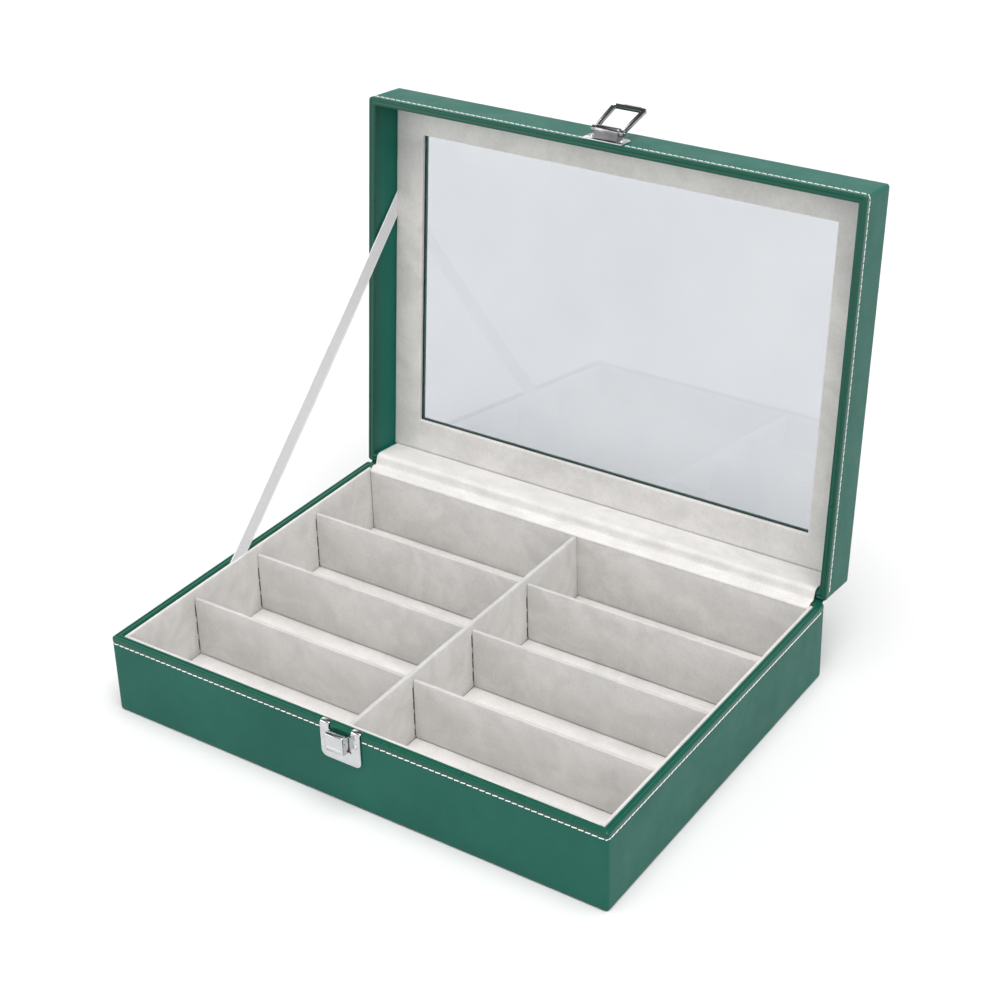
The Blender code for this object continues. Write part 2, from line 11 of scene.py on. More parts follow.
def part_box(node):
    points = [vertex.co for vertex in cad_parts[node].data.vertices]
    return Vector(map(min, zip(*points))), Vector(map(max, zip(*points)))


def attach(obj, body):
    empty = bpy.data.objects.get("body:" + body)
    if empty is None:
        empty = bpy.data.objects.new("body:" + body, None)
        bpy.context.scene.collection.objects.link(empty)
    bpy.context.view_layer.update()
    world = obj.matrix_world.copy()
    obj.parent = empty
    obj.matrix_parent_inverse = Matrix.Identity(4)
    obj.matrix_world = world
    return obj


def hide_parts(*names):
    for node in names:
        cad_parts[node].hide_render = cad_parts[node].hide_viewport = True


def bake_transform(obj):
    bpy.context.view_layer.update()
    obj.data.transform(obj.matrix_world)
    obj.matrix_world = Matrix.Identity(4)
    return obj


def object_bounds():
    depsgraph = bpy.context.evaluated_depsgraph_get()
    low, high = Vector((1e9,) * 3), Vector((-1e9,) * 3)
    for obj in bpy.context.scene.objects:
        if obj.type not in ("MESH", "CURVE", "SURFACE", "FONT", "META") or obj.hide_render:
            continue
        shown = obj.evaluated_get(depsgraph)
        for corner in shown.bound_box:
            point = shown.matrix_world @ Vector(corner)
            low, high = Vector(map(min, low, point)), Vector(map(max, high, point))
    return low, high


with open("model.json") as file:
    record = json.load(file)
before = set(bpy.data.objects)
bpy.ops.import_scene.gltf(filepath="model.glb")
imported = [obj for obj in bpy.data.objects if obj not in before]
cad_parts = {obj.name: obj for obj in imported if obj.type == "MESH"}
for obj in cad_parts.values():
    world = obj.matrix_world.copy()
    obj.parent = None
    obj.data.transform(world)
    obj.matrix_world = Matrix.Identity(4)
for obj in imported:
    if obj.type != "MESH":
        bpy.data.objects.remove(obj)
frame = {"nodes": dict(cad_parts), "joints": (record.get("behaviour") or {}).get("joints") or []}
cadLow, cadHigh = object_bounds()
nodes = frame["nodes"]
joints = {joint["name"]: joint for joint in frame["joints"]}
mm = 0.001

# places read from the frame, in metres
halfX, halfY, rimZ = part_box("base_leather")[1]
hinge = Vector(joints["lid_hinge"]["pos_m"])
openAngle = math.radians(joints["lid_hinge"]["range_deg"][1])
latchPivot = Vector(joints["latch_turn"]["pos_m"])
throwAngle = math.radians(joints["latch_turn"]["range_deg"][1])
lidRim = 2 * hinge.z - rimZ        # the lid's rim when it is shut


def turnAbout(point, angle):
    return Matrix.Translation(point) @ Matrix.Rotation(angle, 4, "X") @ Matrix.Translation(-point)


# lid pieces are drawn with the lid shut and then opened
# the loop is drawn hanging down from the shut lid and then thrown back
openLid = turnAbout(hinge, -openAngle)
shutPivot = openLid.inverted() @ latchPivot
throwLoop = openLid @ turnAbout(shutPivot, -throwAngle)

caseSet = {
    "skin": 0.8,
    "wall": 4.8,
    "cornerRadius": 2.0,
    "innerRadius": 0.45,
    "cornerSteps": 6,
    "cell": 7.0,           # spacing of the cuts along the sides
    "wave": 0.05,          # how far the leather strays from flat
    "skirt": 12.0,
    "flange": 8.5,
    "sideCuts": (3.0, 9.0, 16.0, 23.0, 30.0, 37.0),
    "hingeDip": 1.1,
    "dipHalf": 160.4,
    "dipRamp": 1.2,
    "dipReach": 7.0,
    # the folded edge: distance in, distance from the rim, and how much it takes the rim's shine
    "foldOut": (
        (0.0, 6.4, 0), (0.0, 5.0, 0), (0.08, 4.4, 0), (0.15, 4.0, 0),
        (0.08, 3.6, 0.05), (-0.02, 3.1, 0.25), (-0.08, 2.5, 0.6), (-0.08, 1.9, 0.9),
    ),
    "foldTop": (
        (1.7, 0.07, 1), (2.0, 0.3, 1), (2.3, 0.42, 1), (2.65, 0.32, 1), (3.0, 0.08, 1), (3.35, 0.0, 1),
    ),
}


# ---- node helpers ----
def newMaterial(name, **fixed):
    material = bpy.data.materials.new(name)
    material.use_nodes = True
    shader = material.node_tree.nodes["Principled BSDF"]
    for socket, value in fixed.items():
        shader.inputs[socket.replace("_", " ")].default_value = value
    return material, material.node_tree, shader


def addNode(tree, kind, inputs=None, **settings):
    node = tree.nodes.new("ShaderNode" + kind)
    for key, value in settings.items():
        setattr(node, key, value)
    for key, value in (inputs or {}).items():
        if isinstance(value, bpy.types.NodeSocket):
            tree.links.new(value, node.inputs[key])
        else:
            node.inputs[key].default_value = value
    return node


def surfacePoint(tree, scale=(1, 1, 1), uv=False):
    spot = addNode(tree, "TexCoord")
    place = addNode(tree, "Mapping", {"Vector": spot.outputs["UV" if uv else "Object"], "Scale": scale})
    return place.outputs["Vector"]


def noiseAt(tree, point, scale, detail=3.0, rough=0.5):
    inputs = {"Vector": point, "Scale": scale, "Detail": detail, "Roughness": rough}
    return addNode(tree, "TexNoise", inputs).outputs["Fac"]


def streaks(tree, point, scale, turn, detail, distortion=0.0):
    # noise drawn out along one direction
    turned = addNode(tree, "Mapping", {"Vector": point, "Scale": scale, "Rotation": turn})
    inputs = {"Vector": turned.outputs["Vector"], "Scale": 1.0, "Detail": detail, "Distortion": distortion}
    return addNode(tree, "TexNoise", inputs).outputs["Fac"]


def span(tree, value, low, high, start=0.0, end=1.0):
    # value from low..high becomes start..end, held at both ends
    inputs = {"Value": value, "From Min": low, "From Max": high, "To Min": start, "To Max": end}
    return addNode(tree, "MapRange", inputs).outputs["Result"]


def sums(tree, how, first, second):
    return addNode(tree, "Math", {0: first, 1: second}, operation=how).outputs[0]


def blendColours(tree, share, first, second, how="MIX"):
    node = addNode(tree, "Mix", data_type="RGBA", blend_type=how)
    for index, value in ((0, share), (6, first), (7, second)):
        if isinstance(value, bpy.types.NodeSocket):
            tree.links.new(value, node.inputs[index])
        else:
            node.inputs[index].default_value = value
    return node.outputs[2]


def feed(shader, **values):
    for socket, value in values.items():
        shader.id_data.links.new(value, shader.inputs[socket.replace("_", " ")])


def raiseGrain(shader, height, depth, strength):
    inputs = {"Height": height, "Distance": depth, "Strength": strength}
    feed(shader, Normal=addNode(shader.id_data, "Bump", inputs).outputs["Normal"])


# ---- finishes ----
leatherSet = {
    "deep": (0.0045, 0.093, 0.067, 1),
    "light": (0.0095, 0.113, 0.083, 1),
    "grainShade": (0.002, 0.045, 0.032, 1),
    "rim": (0.0006, 0.070, 0.043, 1),
    # painted light: a lighter green for the inner walls, standing in for light in the shaded inside of the
    # case
    "inside": (0.006, 0.132, 0.095, 1),
    "grain": 1100.0,       # pebbles to the metre
    "polish": (0.40, 0.50),
    "rimShine": 0.35,
}


def greenLeather(name, hasRim):
    material, tree, shader = newMaterial(name, IOR=1.45, Specular_IOR_Level=0.22, Coat_Roughness=0.2)
    point = surfacePoint(tree)
    inputs = {"Vector": point, "Scale": leatherSet["grain"], "Randomness": 0.95}
    fromEdge = addNode(tree, "TexVoronoi", inputs, feature="DISTANCE_TO_EDGE").outputs["Distance"]
    pebbles = span(tree, fromEdge, 0.0, 0.22)
    creases = noiseAt(tree, point, 420, 5, 0.6)
    height = sums(tree, "ADD", pebbles, sums(tree, "MULTIPLY", creases, 0.9))
    raiseGrain(shader, height, 0.00006, 0.35)
    cloud = span(tree, noiseAt(tree, point, 14, 4, 0.6), 0.35, 0.65)
    colour = blendColours(tree, cloud, leatherSet["deep"], leatherSet["light"])
    # painted shade: darker in the dips between the grain's pebbles
    grainShade = span(tree, fromEdge, 0.0, 0.08, 0.35, 0.0)
    colour = blendColours(tree, grainShade, colour, leatherSet["grainShade"])
    polish = span(tree, noiseAt(tree, point, 60, 3, 0.6), 0.3, 0.7, *leatherSet["polish"])
    if hasRim:
        rim = addNode(tree, "Attribute", attribute_name="rim").outputs["Fac"]
        inner = addNode(tree, "Attribute", attribute_name="inner").outputs["Fac"]
        # painted light: the inner walls take the lighter inside green
        colour = blendColours(tree, inner, colour, leatherSet["inside"])
        colour = blendColours(tree, rim, colour, leatherSet["rim"])
        polish = sums(tree, "SUBTRACT", polish, sums(tree, "MULTIPLY", rim, 0.14))
        feed(shader, Coat_Weight=sums(tree, "MULTIPLY", rim, leatherSet["rimShine"]))
    feed(shader, Base_Color=colour, Roughness=polish)
    return material


velvetSet = {
    "shade": (0.540, 0.526, 0.512, 1),
    "light": (0.750, 0.732, 0.714, 1),
    # painted shade: darker copies of the velvet's tones for the floor pads and the divider walls, set to
    # how bright they show under the light
    "padShade": (0.500, 0.487, 0.474, 1),
    "padLight": (0.685, 0.669, 0.653, 1),
    "wallShade": (0.518, 0.505, 0.492, 1),
    "wallLight": (0.722, 0.705, 0.687, 1),
    # painted shade for the top edges of the velvet boards
    "topShade": (0.76, 0.76, 0.76, 1),
    "topShadeDepth": (1.1, 0.2),        # painted shade along the top edge, fading in between these depths below the top
    "sheenTint": (1.0, 0.985, 0.96, 1),
    "patches": 0.14,       # each layer's share of the tone
    "clouds": 0.34,
    "tufts": 0.42,
    "pile": 0.28,
}


def paleVelvet(name, uv=False, size=(1, 1, 1), tones=("shade", "light"), topShadeHeight=None):
    material, tree, shader = newMaterial(
        name, Roughness=0.95, Sheen_Weight=0.3, Sheen_Roughness=0.5, Specular_IOR_Level=0.12
    )
    shader.inputs["Sheen Tint"].default_value = velvetSet["sheenTint"]
    point = surfacePoint(tree, size, uv)
    # brushed patches, where a hand has laid the pile another way
    brushed = streaks(tree, point, (30, 44, 36), (0.3, 0.2, 0.5), 6.0, 1.4)
    layers = {
        "patches": span(tree, brushed, 0.40, 0.60),
        "clouds": noiseAt(tree, point, 90, 5, 0.7),
        "tufts": noiseAt(tree, point, 700, 3, 0.7),
        "pile": noiseAt(tree, point, 2600, 2, 0.7),
    }
    tone = 0.0
    for layer, value in layers.items():
        tone = sums(tree, "ADD", tone, sums(tree, "MULTIPLY", value, velvetSet[layer]))
    colour = blendColours(tree, span(tree, tone, 0.34, 0.84), *(velvetSet[key] for key in tones))
    if topShadeHeight:
        # painted shade: the colour darkens along the top edge, to tone down the light that falls there
        height = addNode(tree, "SeparateXYZ", {"Vector": point}).outputs["Z"]
        flat = span(tree, height, *(topShadeHeight - depth * mm for depth in velvetSet["topShadeDepth"]))
        colour = blendColours(tree, flat, colour, velvetSet["topShade"], "MULTIPLY")
    feed(shader, Base_Color=colour)
    nap = sums(tree, "ADD", layers["tufts"], sums(tree, "MULTIPLY", layers["clouds"], 1.5))
    raiseGrain(shader, sums(tree, "ADD", layers["pile"], nap), 0.0004, 0.45)
    return material


def pressedBoard(name):
    material, tree, shader = newMaterial(name, Specular_IOR_Level=0.2)
    point = surfacePoint(tree)
    flakes = addNode(tree, "TexVoronoi", {"Vector": point, "Scale": 420.0}).outputs["Distance"]
    fuzz = streaks(tree, point, (900, 160, 900), (0, 0, 0.4), 4.0)
    mixed = sums(tree, "ADD", sums(tree, "MULTIPLY", flakes, 0.5), fuzz)
    share = span(tree, mixed, 0.4, 1.1)
    colour = blendColours(tree, share, (0.30, 0.22, 0.14, 1), (0.50, 0.40, 0.28, 1))
    feed(shader, Base_Color=colour, Roughness=span(tree, share, 0.0, 1.0, 0.95, 0.8))
    raiseGrain(shader, mixed, 0.0002, 0.4)
    return material


def polishedNickel(name, light, dark):
    material, tree, shader = newMaterial(name, Metallic=1.0)
    point = surfacePoint(tree)
    rubbed = streaks(tree, point, (900, 900, 5200), (0, 0.5, 0), 3.0)
    hands = noiseAt(tree, point, 180, 4, 0.6)
    handled = span(tree, hands, 0.35, 0.7, 0.07, 0.2)
    rough = sums(tree, "ADD", handled, sums(tree, "MULTIPLY", rubbed, 0.06))
    colour = blendColours(tree, span(tree, hands, 0.3, 0.7), (*light, 1), (*dark, 1))
    feed(shader, Base_Color=colour, Roughness=rough)
    raiseGrain(shader, noiseAt(tree, point, 240, 2), 0.00012, 0.25)
    return material


def whiteThread(name):
    material, tree, shader = newMaterial(name, Roughness=0.75, Sheen_Weight=0.3, Specular_IOR_Level=0.25)
    plies = noiseAt(tree, surfacePoint(tree), 2600, 2, 0.6)
    colour = blendColours(tree, span(tree, plies, 0.3, 0.7), (0.74, 0.73, 0.70, 1), (0.96, 0.95, 0.93, 1))
    feed(shader, Base_Color=colour)
    raiseGrain(shader, plies, 0.0002, 0.5)
    return material


# a flat dark matte finish: painted shade, for the needle holes and for the seams and slits
def shadeFinish(name, dark, light):
    material, tree, shader = newMaterial(name, Roughness=0.9, Specular_IOR_Level=0.1)
    soot = noiseAt(tree, surfacePoint(tree), 1800, 2)
    feed(shader, Base_Color=blendColours(tree, soot, dark, light))
    return material


satinSet = {
    "rib": 0.7,            # millimetres from rib to rib, and from thread to thread
    "warp": 0.5,
    "dull": (0.80, 0.80, 0.82, 1),
    "bright": (0.95, 0.95, 0.96, 1),
    "selvedge": (0.98, 0.98, 0.98, 1),
    # painted shade colour for the grooves between the ribs
    "groove": (0.46, 0.46, 0.48, 1),
}


def satinRibbon(name, width, length):
    material, tree, shader = newMaterial(
        name, Anisotropic=0.5, Sheen_Weight=0.4, Sheen_Roughness=0.3, Specular_IOR_Level=0.6
    )
    point = surfacePoint(tree, (width, length, 1), uv=True)
    split = addNode(tree, "SeparateXYZ", {"Vector": point})
    across, along = split.outputs["X"], split.outputs["Y"]
    # fine ribs across the ribbon, and a firm selvedge at each edge
    ribTurns, warpTurns = (2 * math.pi / (satinSet[key] * mm) for key in ("rib", "warp"))
    ribs = sums(tree, "SINE", sums(tree, "MULTIPLY", along, ribTurns), 0.0)
    warp = sums(tree, "SINE", sums(tree, "MULTIPLY", across, warpTurns), 0.0)
    lifted = sums(tree, "MULTIPLY_ADD", warp, 0.25)
    weave = sums(tree, "MULTIPLY", sums(tree, "MULTIPLY_ADD", ribs, 0.5), lifted)
    fromMiddle = sums(tree, "ABSOLUTE", sums(tree, "SUBTRACT", across, width / 2), 0.0)
    selvedge = span(tree, fromMiddle, width * 0.38, width * 0.43)
    crush = noiseAt(tree, point, 900, 4, 0.7)
    tone = blendColours(tree, span(tree, crush, 0.3, 0.7), satinSet["dull"], satinSet["bright"])
    tone = blendColours(tree, selvedge, tone, satinSet["selvedge"])
    # painted shade: darker in the grooves between the ribs
    tone = blendColours(tree, span(tree, ribs, -1.0, 1.0, 0.22, 0.0), tone, satinSet["groove"])
    feed(shader, Base_Color=tone, Roughness=span(tree, crush, 0.3, 0.7, 0.34, 0.5))
    raiseGrain(shader, sums(tree, "ADD", ribs, weave), 0.00012, 0.6)
    return material


glassSet = {"thick": (0.605, 0.630, 0.662, 1), "thin": (0.665, 0.687, 0.715, 1)}


def windowGlass(name):
    material, tree, shader = newMaterial(name, Transmission_Weight=1.0, IOR=1.48)
    point = surfacePoint(tree)
    haze = span(tree, noiseAt(tree, point, 7, 3, 0.6), 0.3, 0.7)
    smears = streaks(tree, point, (14, 60, 60), (0, 0.6, 0), 5.0)
    feed(shader, Roughness=span(tree, smears, 0.45, 0.75, 0.0, 0.05))
    feed(shader, Base_Color=blendColours(tree, haze, glassSet["thick"], glassSet["thin"]))
    return material


leather = greenLeather("greenLeather", True)
plainLeather = greenLeather("greenLeatherPlain", False)
velvet = paleVelvet("paleVelvet")
# the floor pads and divider walls use darker copies of the same velvet: painted shade
shadedPadVelvet = paleVelvet("shadedPadVelvet", tones=("padShade", "padLight"))
shadedWallTones = ("wallShade", "wallLight")
# the dividers and liners get painted shade along their top edges
crossVelvet = paleVelvet("crossVelvet", tones=shadedWallTones, topShadeHeight=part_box("left_divider_1")[1].z)
centreVelvet = paleVelvet("centreVelvet", tones=shadedWallTones, topShadeHeight=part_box("centre_divider")[1].z)
linerVelvet = paleVelvet("linerVelvet", topShadeHeight=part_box("front_liner")[1].z + 0.6 * mm)
nickel = polishedNickel("brightNickel", (0.68, 0.68, 0.69), (0.56, 0.57, 0.59))
# painted shade: a darker copy of the nickel for the knuckle, loop and pin, standing in for the dark
# reflections they show
shadedNickel = polishedNickel("shadedNickel", (0.36, 0.36, 0.37), (0.22, 0.225, 0.235))
thread = whiteThread("whiteThread")
# painted shade for the needle holes, and for the seams between the velvet boards and the slits by the catch
holeShade = shadeFinish("shadeFinish", (0.002, 0.012, 0.009, 1), (0.006, 0.030, 0.022, 1))
seamShade = shadeFinish("seamShade", (0.030, 0.020, 0.016, 1), (0.110, 0.085, 0.070, 1))
print("finishes made")


# ---- shaping helpers ----
def meshFrom(bm, name):
    mesh = bpy.data.meshes.new(name)
    bm.to_mesh(mesh)
    bm.free()
    return mesh


def addObject(name, content):
    made = bpy.data.objects.new(name, content)
    bpy.context.scene.collection.objects.link(made)
    return made


def only(kind, items):
    return [item for item in items if isinstance(item, kind)]


def makePiece(bm, name, materials, body, stands=(), turn=None, sharp=40):
    bmesh.ops.recalc_face_normals(bm, faces=bm.faces)
    if turn:
        bmesh.ops.transform(bm, matrix=turn, verts=bm.verts)
    mesh = meshFrom(bm, name)
    for material in materials:
        mesh.materials.append(material)
    mesh.shade_smooth()
    mesh.set_sharp_from_angle(angle=math.radians(sharp))
    piece = addObject(name, mesh)
    if stands:
        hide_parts(*stands)
    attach(piece, body)
    return piece


def roundOff(bm, parts, radius, kind, segments, **more):
    bmesh.ops.bevel(
        bm, geom=parts, offset=radius, affect=kind, segments=segments, profile=0.5, material=-1, **more
    )


def cutAt(bm, place, normal, **more):
    everything = bm.verts[:] + bm.edges[:] + bm.faces[:]
    return bmesh.ops.bisect_plane(bm, geom=everything, plane_co=place, plane_no=normal, **more)["geom_cut"]


def bend(centreIn, centreUp, radius, start, end, steps=4):
    spots = []
    for step in range(steps + 1):
        angle = math.radians(start + (end - start) * step / steps)
        spots.append((centreIn + radius * math.cos(angle), centreUp + radius * math.sin(angle)))
    return spots


def levelLoop(inset, extra, radius):
    # one level of a wrap seen from above: a rectangle with round corners, cut along its sides
    bm = bmesh.new()
    right, front = halfX - inset, -halfY + inset
    back = halfY - inset - extra
    spots = ((-right, front, 0), (right, front, 0), (right, back, 0), (-right, back, 0))
    corners = [bm.verts.new(spot) for spot in spots]
    bm.faces.new(corners)
    roundOff(bm, corners, radius, "VERTICES", caseSet["cornerSteps"])
    bmesh.ops.delete(bm, geom=bm.faces[:], context="FACES_ONLY")
    for axis, whole in ((0, 2 * halfX), (1, 2 * halfY)):
        cuts = 2 * round(whole / (2 * caseSet["cell"] * mm))
        ends = [(edge, *(vert.co[axis] for vert in edge.verts)) for edge in bm.edges]
        sides = [edge for edge, start, end in ends if abs(end - start) > 20 * mm]
        bmesh.ops.subdivide_edges(bm, edges=sides, cuts=cuts)
    points = sorted((vert.co.copy() for vert in bm.verts), key=lambda spot: math.atan2(spot.x, -spot.y))
    bm.free()
    return points


def levels(points, rim=0, inner=0, extra=0):
    # levels of a wrap: inset, height, rim share, inner share, extra at the back
    return [(inset, height, rim, inner, extra) for inset, height in points]


def wrapRound(section):
    # draws a closed skin level after level
    bm = bmesh.new()
    rim = bm.verts.layers.float.new("rim")
    inner = bm.verts.layers.float.new("inner")
    order = bm.verts.layers.int.new("order")
    ring = []
    for inset, height, rimShare, innerShare, extra in section + section[:1]:
        radius = max(caseSet["cornerRadius"] - inset, caseSet["innerRadius"]) * mm
        points = levelLoop(inset * mm, extra * mm, radius)
        if ring:
            made = bmesh.ops.extrude_edge_only(bm, edges=ring)["geom"]
            level = only(BMVert, made)
            ring = [edge for edge in only(BMEdge, made) if len(edge.link_faces) == 1]
        else:
            level = [bm.verts.new(point) for point in points]
            for index, vert in enumerate(level):
                vert[order] = index
                ring.append(bm.edges.new((vert, level[index - 1])))
        for vert in level:
            point = points[vert[order]]
            vert.co = (point.x, point.y, height * mm)
            vert[rim], vert[inner] = rimShare, innerShare
    bmesh.ops.remove_doubles(bm, verts=bm.verts, dist=0.001 * mm)
    bm.verts.layers.int.remove(order)
    return bm


def dipAtHinge(bm, rim, down):
    # the rim drops along the hinge, where the cloth passes over it; down is -1 on the base and 1 on the lid
    half, ramp, reach = (caseSet[key] * mm for key in ("dipHalf", "dipRamp", "dipReach"))
    for x in (-half - ramp, -half, half, half + ramp):
        cutAt(bm, (x, 0, 0), (1, 0, 0))
    for vert in bm.verts:
        if vert.co.y < halfY - 6 * mm:
            continue
        sideways = min(max((half + ramp - abs(vert.co.x)) / ramp, 0), 1)
        nearRim = min(max((reach - abs(vert.co.z - rim)) / (2 * mm), 0), 1)
        vert.co.z += down * caseSet["hingeDip"] * mm * sideways * nearRim


def ripple(bm, amount, scale, seed=0.0):
    bm.normal_update()
    offset = Vector((seed, 2 * seed, 3 * seed))
    for vert in bm.verts:
        vert.co += vert.normal * amount * noise.noise(vert.co * scale + offset)


def rimSpots(rim, down):
    # the folded edge, from the outer wall to the inner one
    wall = caseSet["wall"]
    spots = list(caseSet["foldOut"])
    spots += [(inset, deep, 1) for inset, deep in bend(1.22, 1.3, 1.3, 180, 270, 5)]
    spots += caseSet["foldTop"]
    spots += [(inset, deep, 1) for inset, deep in bend(wall - 1.0, 1.0, 1.0, 270, 360)]
    spots += [(wall, 2.2, 0.8)]
    return [(inset, rim + down * deep, share, 0, 0) for inset, deep, share in spots]


# ---- leather wraps ----
def baseWrap():
    skin, wall, flange = caseSet["skin"], caseSet["wall"], caseSet["flange"]
    rim = rimZ / mm
    bottom = rim - caseSet["skirt"]
    section = levels([(flange, 1.0), (flange, 0.2), (4.0, 0.2), (2.4, 0.2)] + bend(1.3, 1.5, 1.3, 270, 180))
    section += levels([(0, height) for height in caseSet["sideCuts"]])
    section += rimSpots(rim, -1)
    section += levels([(wall, 44.0), (wall, bottom)], 0.3, 1) + [(wall - skin, bottom, 0, 1, 0)]
    section += levels([(wall - skin, rim - 0.95), (skin, rim - 0.95), (skin, 1.0)])
    bm = wrapRound(section)
    dipAtHinge(bm, rimZ, -1)
    ripple(bm, caseSet["wave"] * mm, 34)
    makePiece(bm, "base_wrap", [leather], "base", ["base_leather"], sharp=50)


lidSet = {
    "height": 31.0,
    "windowMargin": 25.3,
    "backExtra": 2.0,
    "frameBoard": 1.7,
    "glass": 1.8,
    "mat": 2.5,
    "gap": 0.3,
    "topCuts": (19.0, 14.0, 9.0, 4.5, 2.6),
    "sideCuts": (27.5, 21.0, 14.0, 9.0),
    "matCuts": (11.0, 16.0, 21.0),
}
glassTop = lidSet["height"] - caseSet["skin"] - 2 * lidSet["gap"] - lidSet["frameBoard"]
matTop = glassTop - lidSet["glass"] - lidSet["gap"]
matFace = matTop - lidSet["mat"]


def lidWrap():
    skin, wall = caseSet["skin"], caseSet["wall"]
    rim = lidRim / mm
    top = rim + lidSet["height"]
    window, extra = lidSet["windowMargin"], lidSet["backExtra"]
    under = rim + glassTop + lidSet["gap"]
    deep = rim + matTop + 0.3
    section = [(window - skin, under, 0, 0, extra), (window, under, 0, 1, extra)]
    section += [(window, top - 0.9, 0, 0.4, extra)]
    section += levels([(window - 0.25, top - 0.3), (window - 0.8, top), (window - 1.8, top)], extra=extra)
    section += [(inset, top, 0, 0, extra * inset / window) for inset in lidSet["topCuts"]]
    section += levels(bend(1.4, top - 1.4, 1.4, 90, 180, 5))
    section += levels([(0, height + rim) for height in lidSet["sideCuts"]])
    section += rimSpots(rim, 1) + [(wall, rim + 8.0, 0.15, 1, 0)]
    section += levels([(wall, rim + 16.0), (wall, deep), (wall - skin, deep)], inner=1)
    section += levels([(wall - skin, rim + 0.95), (skin, rim + 0.95), (skin, top - skin)])
    section += [(window - skin, top - skin, 0, 0, extra)]
    bm = wrapRound(section)
    dipAtHinge(bm, lidRim, 1)
    ripple(bm, caseSet["wave"] * mm, 34, 5)
    makePiece(bm, "lid_wrap", [leather], "lid", ["lid_leather"], openLid, sharp=50)


baseWrap()
lidWrap()
print("leather wraps made")

# ---- stitching ----
stitchSet = {
    "fromRim": 4.0,
    "pitch": 4.0,
    "length": 3.5,
    "halfWidth": 0.34,
    "lift": 0.34,
    "slant": 0.09,
    "holeShade": (0.5, 0.3),
    "sink": 0.12,
    "stray": 0.06,
    "slantStray": 0.03,
    "backEnd": 4.5,        # the row stops this far from the back corners
    "plateHalf": 14.0,     # no stitches under the latch plates
}
seamRadius = caseSet["cornerRadius"] * mm
seamArc = seamRadius * math.pi / 2
seamSide = 2 * halfY - seamRadius - stitchSet["backEnd"] * mm
seamFront = 2 * (halfX - seamRadius)
seamLength = 2 * seamSide + seamFront + 2 * seamArc


def seamSpot(along):
    # a point of the seam seen from above, and the way out from it
    # it runs down the left side, across the front and up the right side
    lowY = -halfY + seamRadius
    if along < seamSide:
        return Vector((-halfX, halfY - stitchSet["backEnd"] * mm - along, 0)), Vector((-1, 0, 0))
    along -= seamSide
    for centreX, start in ((-halfX + seamRadius, math.pi), (halfX - seamRadius, 1.5 * math.pi)):
        if along < seamArc:
            angle = start + along / seamRadius
            out = Vector((math.cos(angle), math.sin(angle), 0))
            return Vector((centreX, lowY, 0)) + out * seamRadius, out
        along -= seamArc
        if centreX < 0:
            if along < seamFront:
                return Vector((centreX + along, -halfY, 0)), Vector((0, -1, 0))
            along -= seamFront
    return Vector((halfX, lowY + along, 0)), Vector((1, 0, 0))


def oneStitch():
    # x runs along the seam, y out of the leather; both ends dive into the needle holes
    bm = bmesh.new()
    length, width, lift = (stitchSet[key] * mm for key in ("length", "halfWidth", "lift"))
    lying = Matrix.Rotation(math.pi / 2, 4, "Y")
    bmesh.ops.create_cone(
        bm, cap_ends=True, segments=6, radius1=width, radius2=width, depth=length, matrix=lying
    )
    sides = [edge for edge in bm.edges if edge.calc_length() > length * 0.9]
    bmesh.ops.subdivide_edges(bm, edges=sides, cuts=4)
    for vert in bm.verts:
        share = (2 * abs(vert.co.x) / length) ** 0.25
        slim = 1 - 0.3 * share ** 8
        vert.co.x = math.copysign(share * length / 2, vert.co.x)
        vert.co.y = vert.co.y * 0.75 * slim + lift * (0.6 - 1.2 * share ** 16)
        vert.co.z *= slim
    return meshFrom(bm, "stitch")


# painted shade: a flat dark disc at each needle hole, which is not cut into the leather
def holeShadeDisc():
    bm = bmesh.new()
    lying = Matrix.Rotation(math.pi / 2, 4, "X")
    bmesh.ops.create_cone(
        bm, cap_ends=True, segments=8, radius1=mm, radius2=0.6 * mm, depth=0.06 * mm, matrix=lying
    )
    wide, high = stitchSet["holeShade"]
    bmesh.ops.scale(bm, vec=(wide, 1, high), verts=bm.verts)
    return meshFrom(bm, "holeShade")


def stitchRow(name, height, body, turn=None, slantSign=1):
    count = round(seamLength / (stitchSet["pitch"] * mm))
    pitch = seamLength / count
    stray, slantStray = stitchSet["stray"], stitchSet["slantStray"]
    stitch, holeDisc = oneStitch(), holeShadeDisc()
    shake = random.Random(11)
    bm = bmesh.new()
    for number in range(count):
        for mesh, middle, index in ((stitch, (number + 0.5) * pitch, 0), (holeDisc, (number + 1) * pitch, 1)):
            spot, out = seamSpot(min(middle, seamLength))
            underPlate = out.y < -0.9 and abs(spot.x) < stitchSet["plateHalf"] * mm
            if underPlate or (index and number == count - 1):
                continue
            before, faces = len(bm.verts), len(bm.faces)
            bm.from_mesh(mesh)
            bm.verts.ensure_lookup_table()
            bm.faces.ensure_lookup_table()
            for face in bm.faces[faces:]:
                face.material_index = index
            tilt = slantSign * stitchSet["slant"] + shake.uniform(-slantStray, slantStray)
            slide = shake.uniform(-stray, stray) * mm
            for vert in bm.verts[before:]:
                along, lift, up = vert.co
                place, away = seamSpot(min(max(middle + along + slide, 0), seamLength))
                rise = along * tilt if index == 0 else 0
                outwards = away * (lift - stitchSet["sink"] * mm)
                vert.co = place + outwards + Vector((0, 0, height + up + rise))
    makePiece(bm, name, [thread, holeShade], body, (), turn, sharp=70)


stitchRow("base_stitching", rimZ - stitchSet["fromRim"] * mm, "base")
stitchRow("lid_stitching", lidRim + stitchSet["fromRim"] * mm, "lid", openLid, -1)
print("stitching made")

# ---- velvet lining ----
liningSet = {"edge": 0.85, "cell": 8.0, "wave": 0.10, "padEdge": 0.4, "padWave": 0.08}


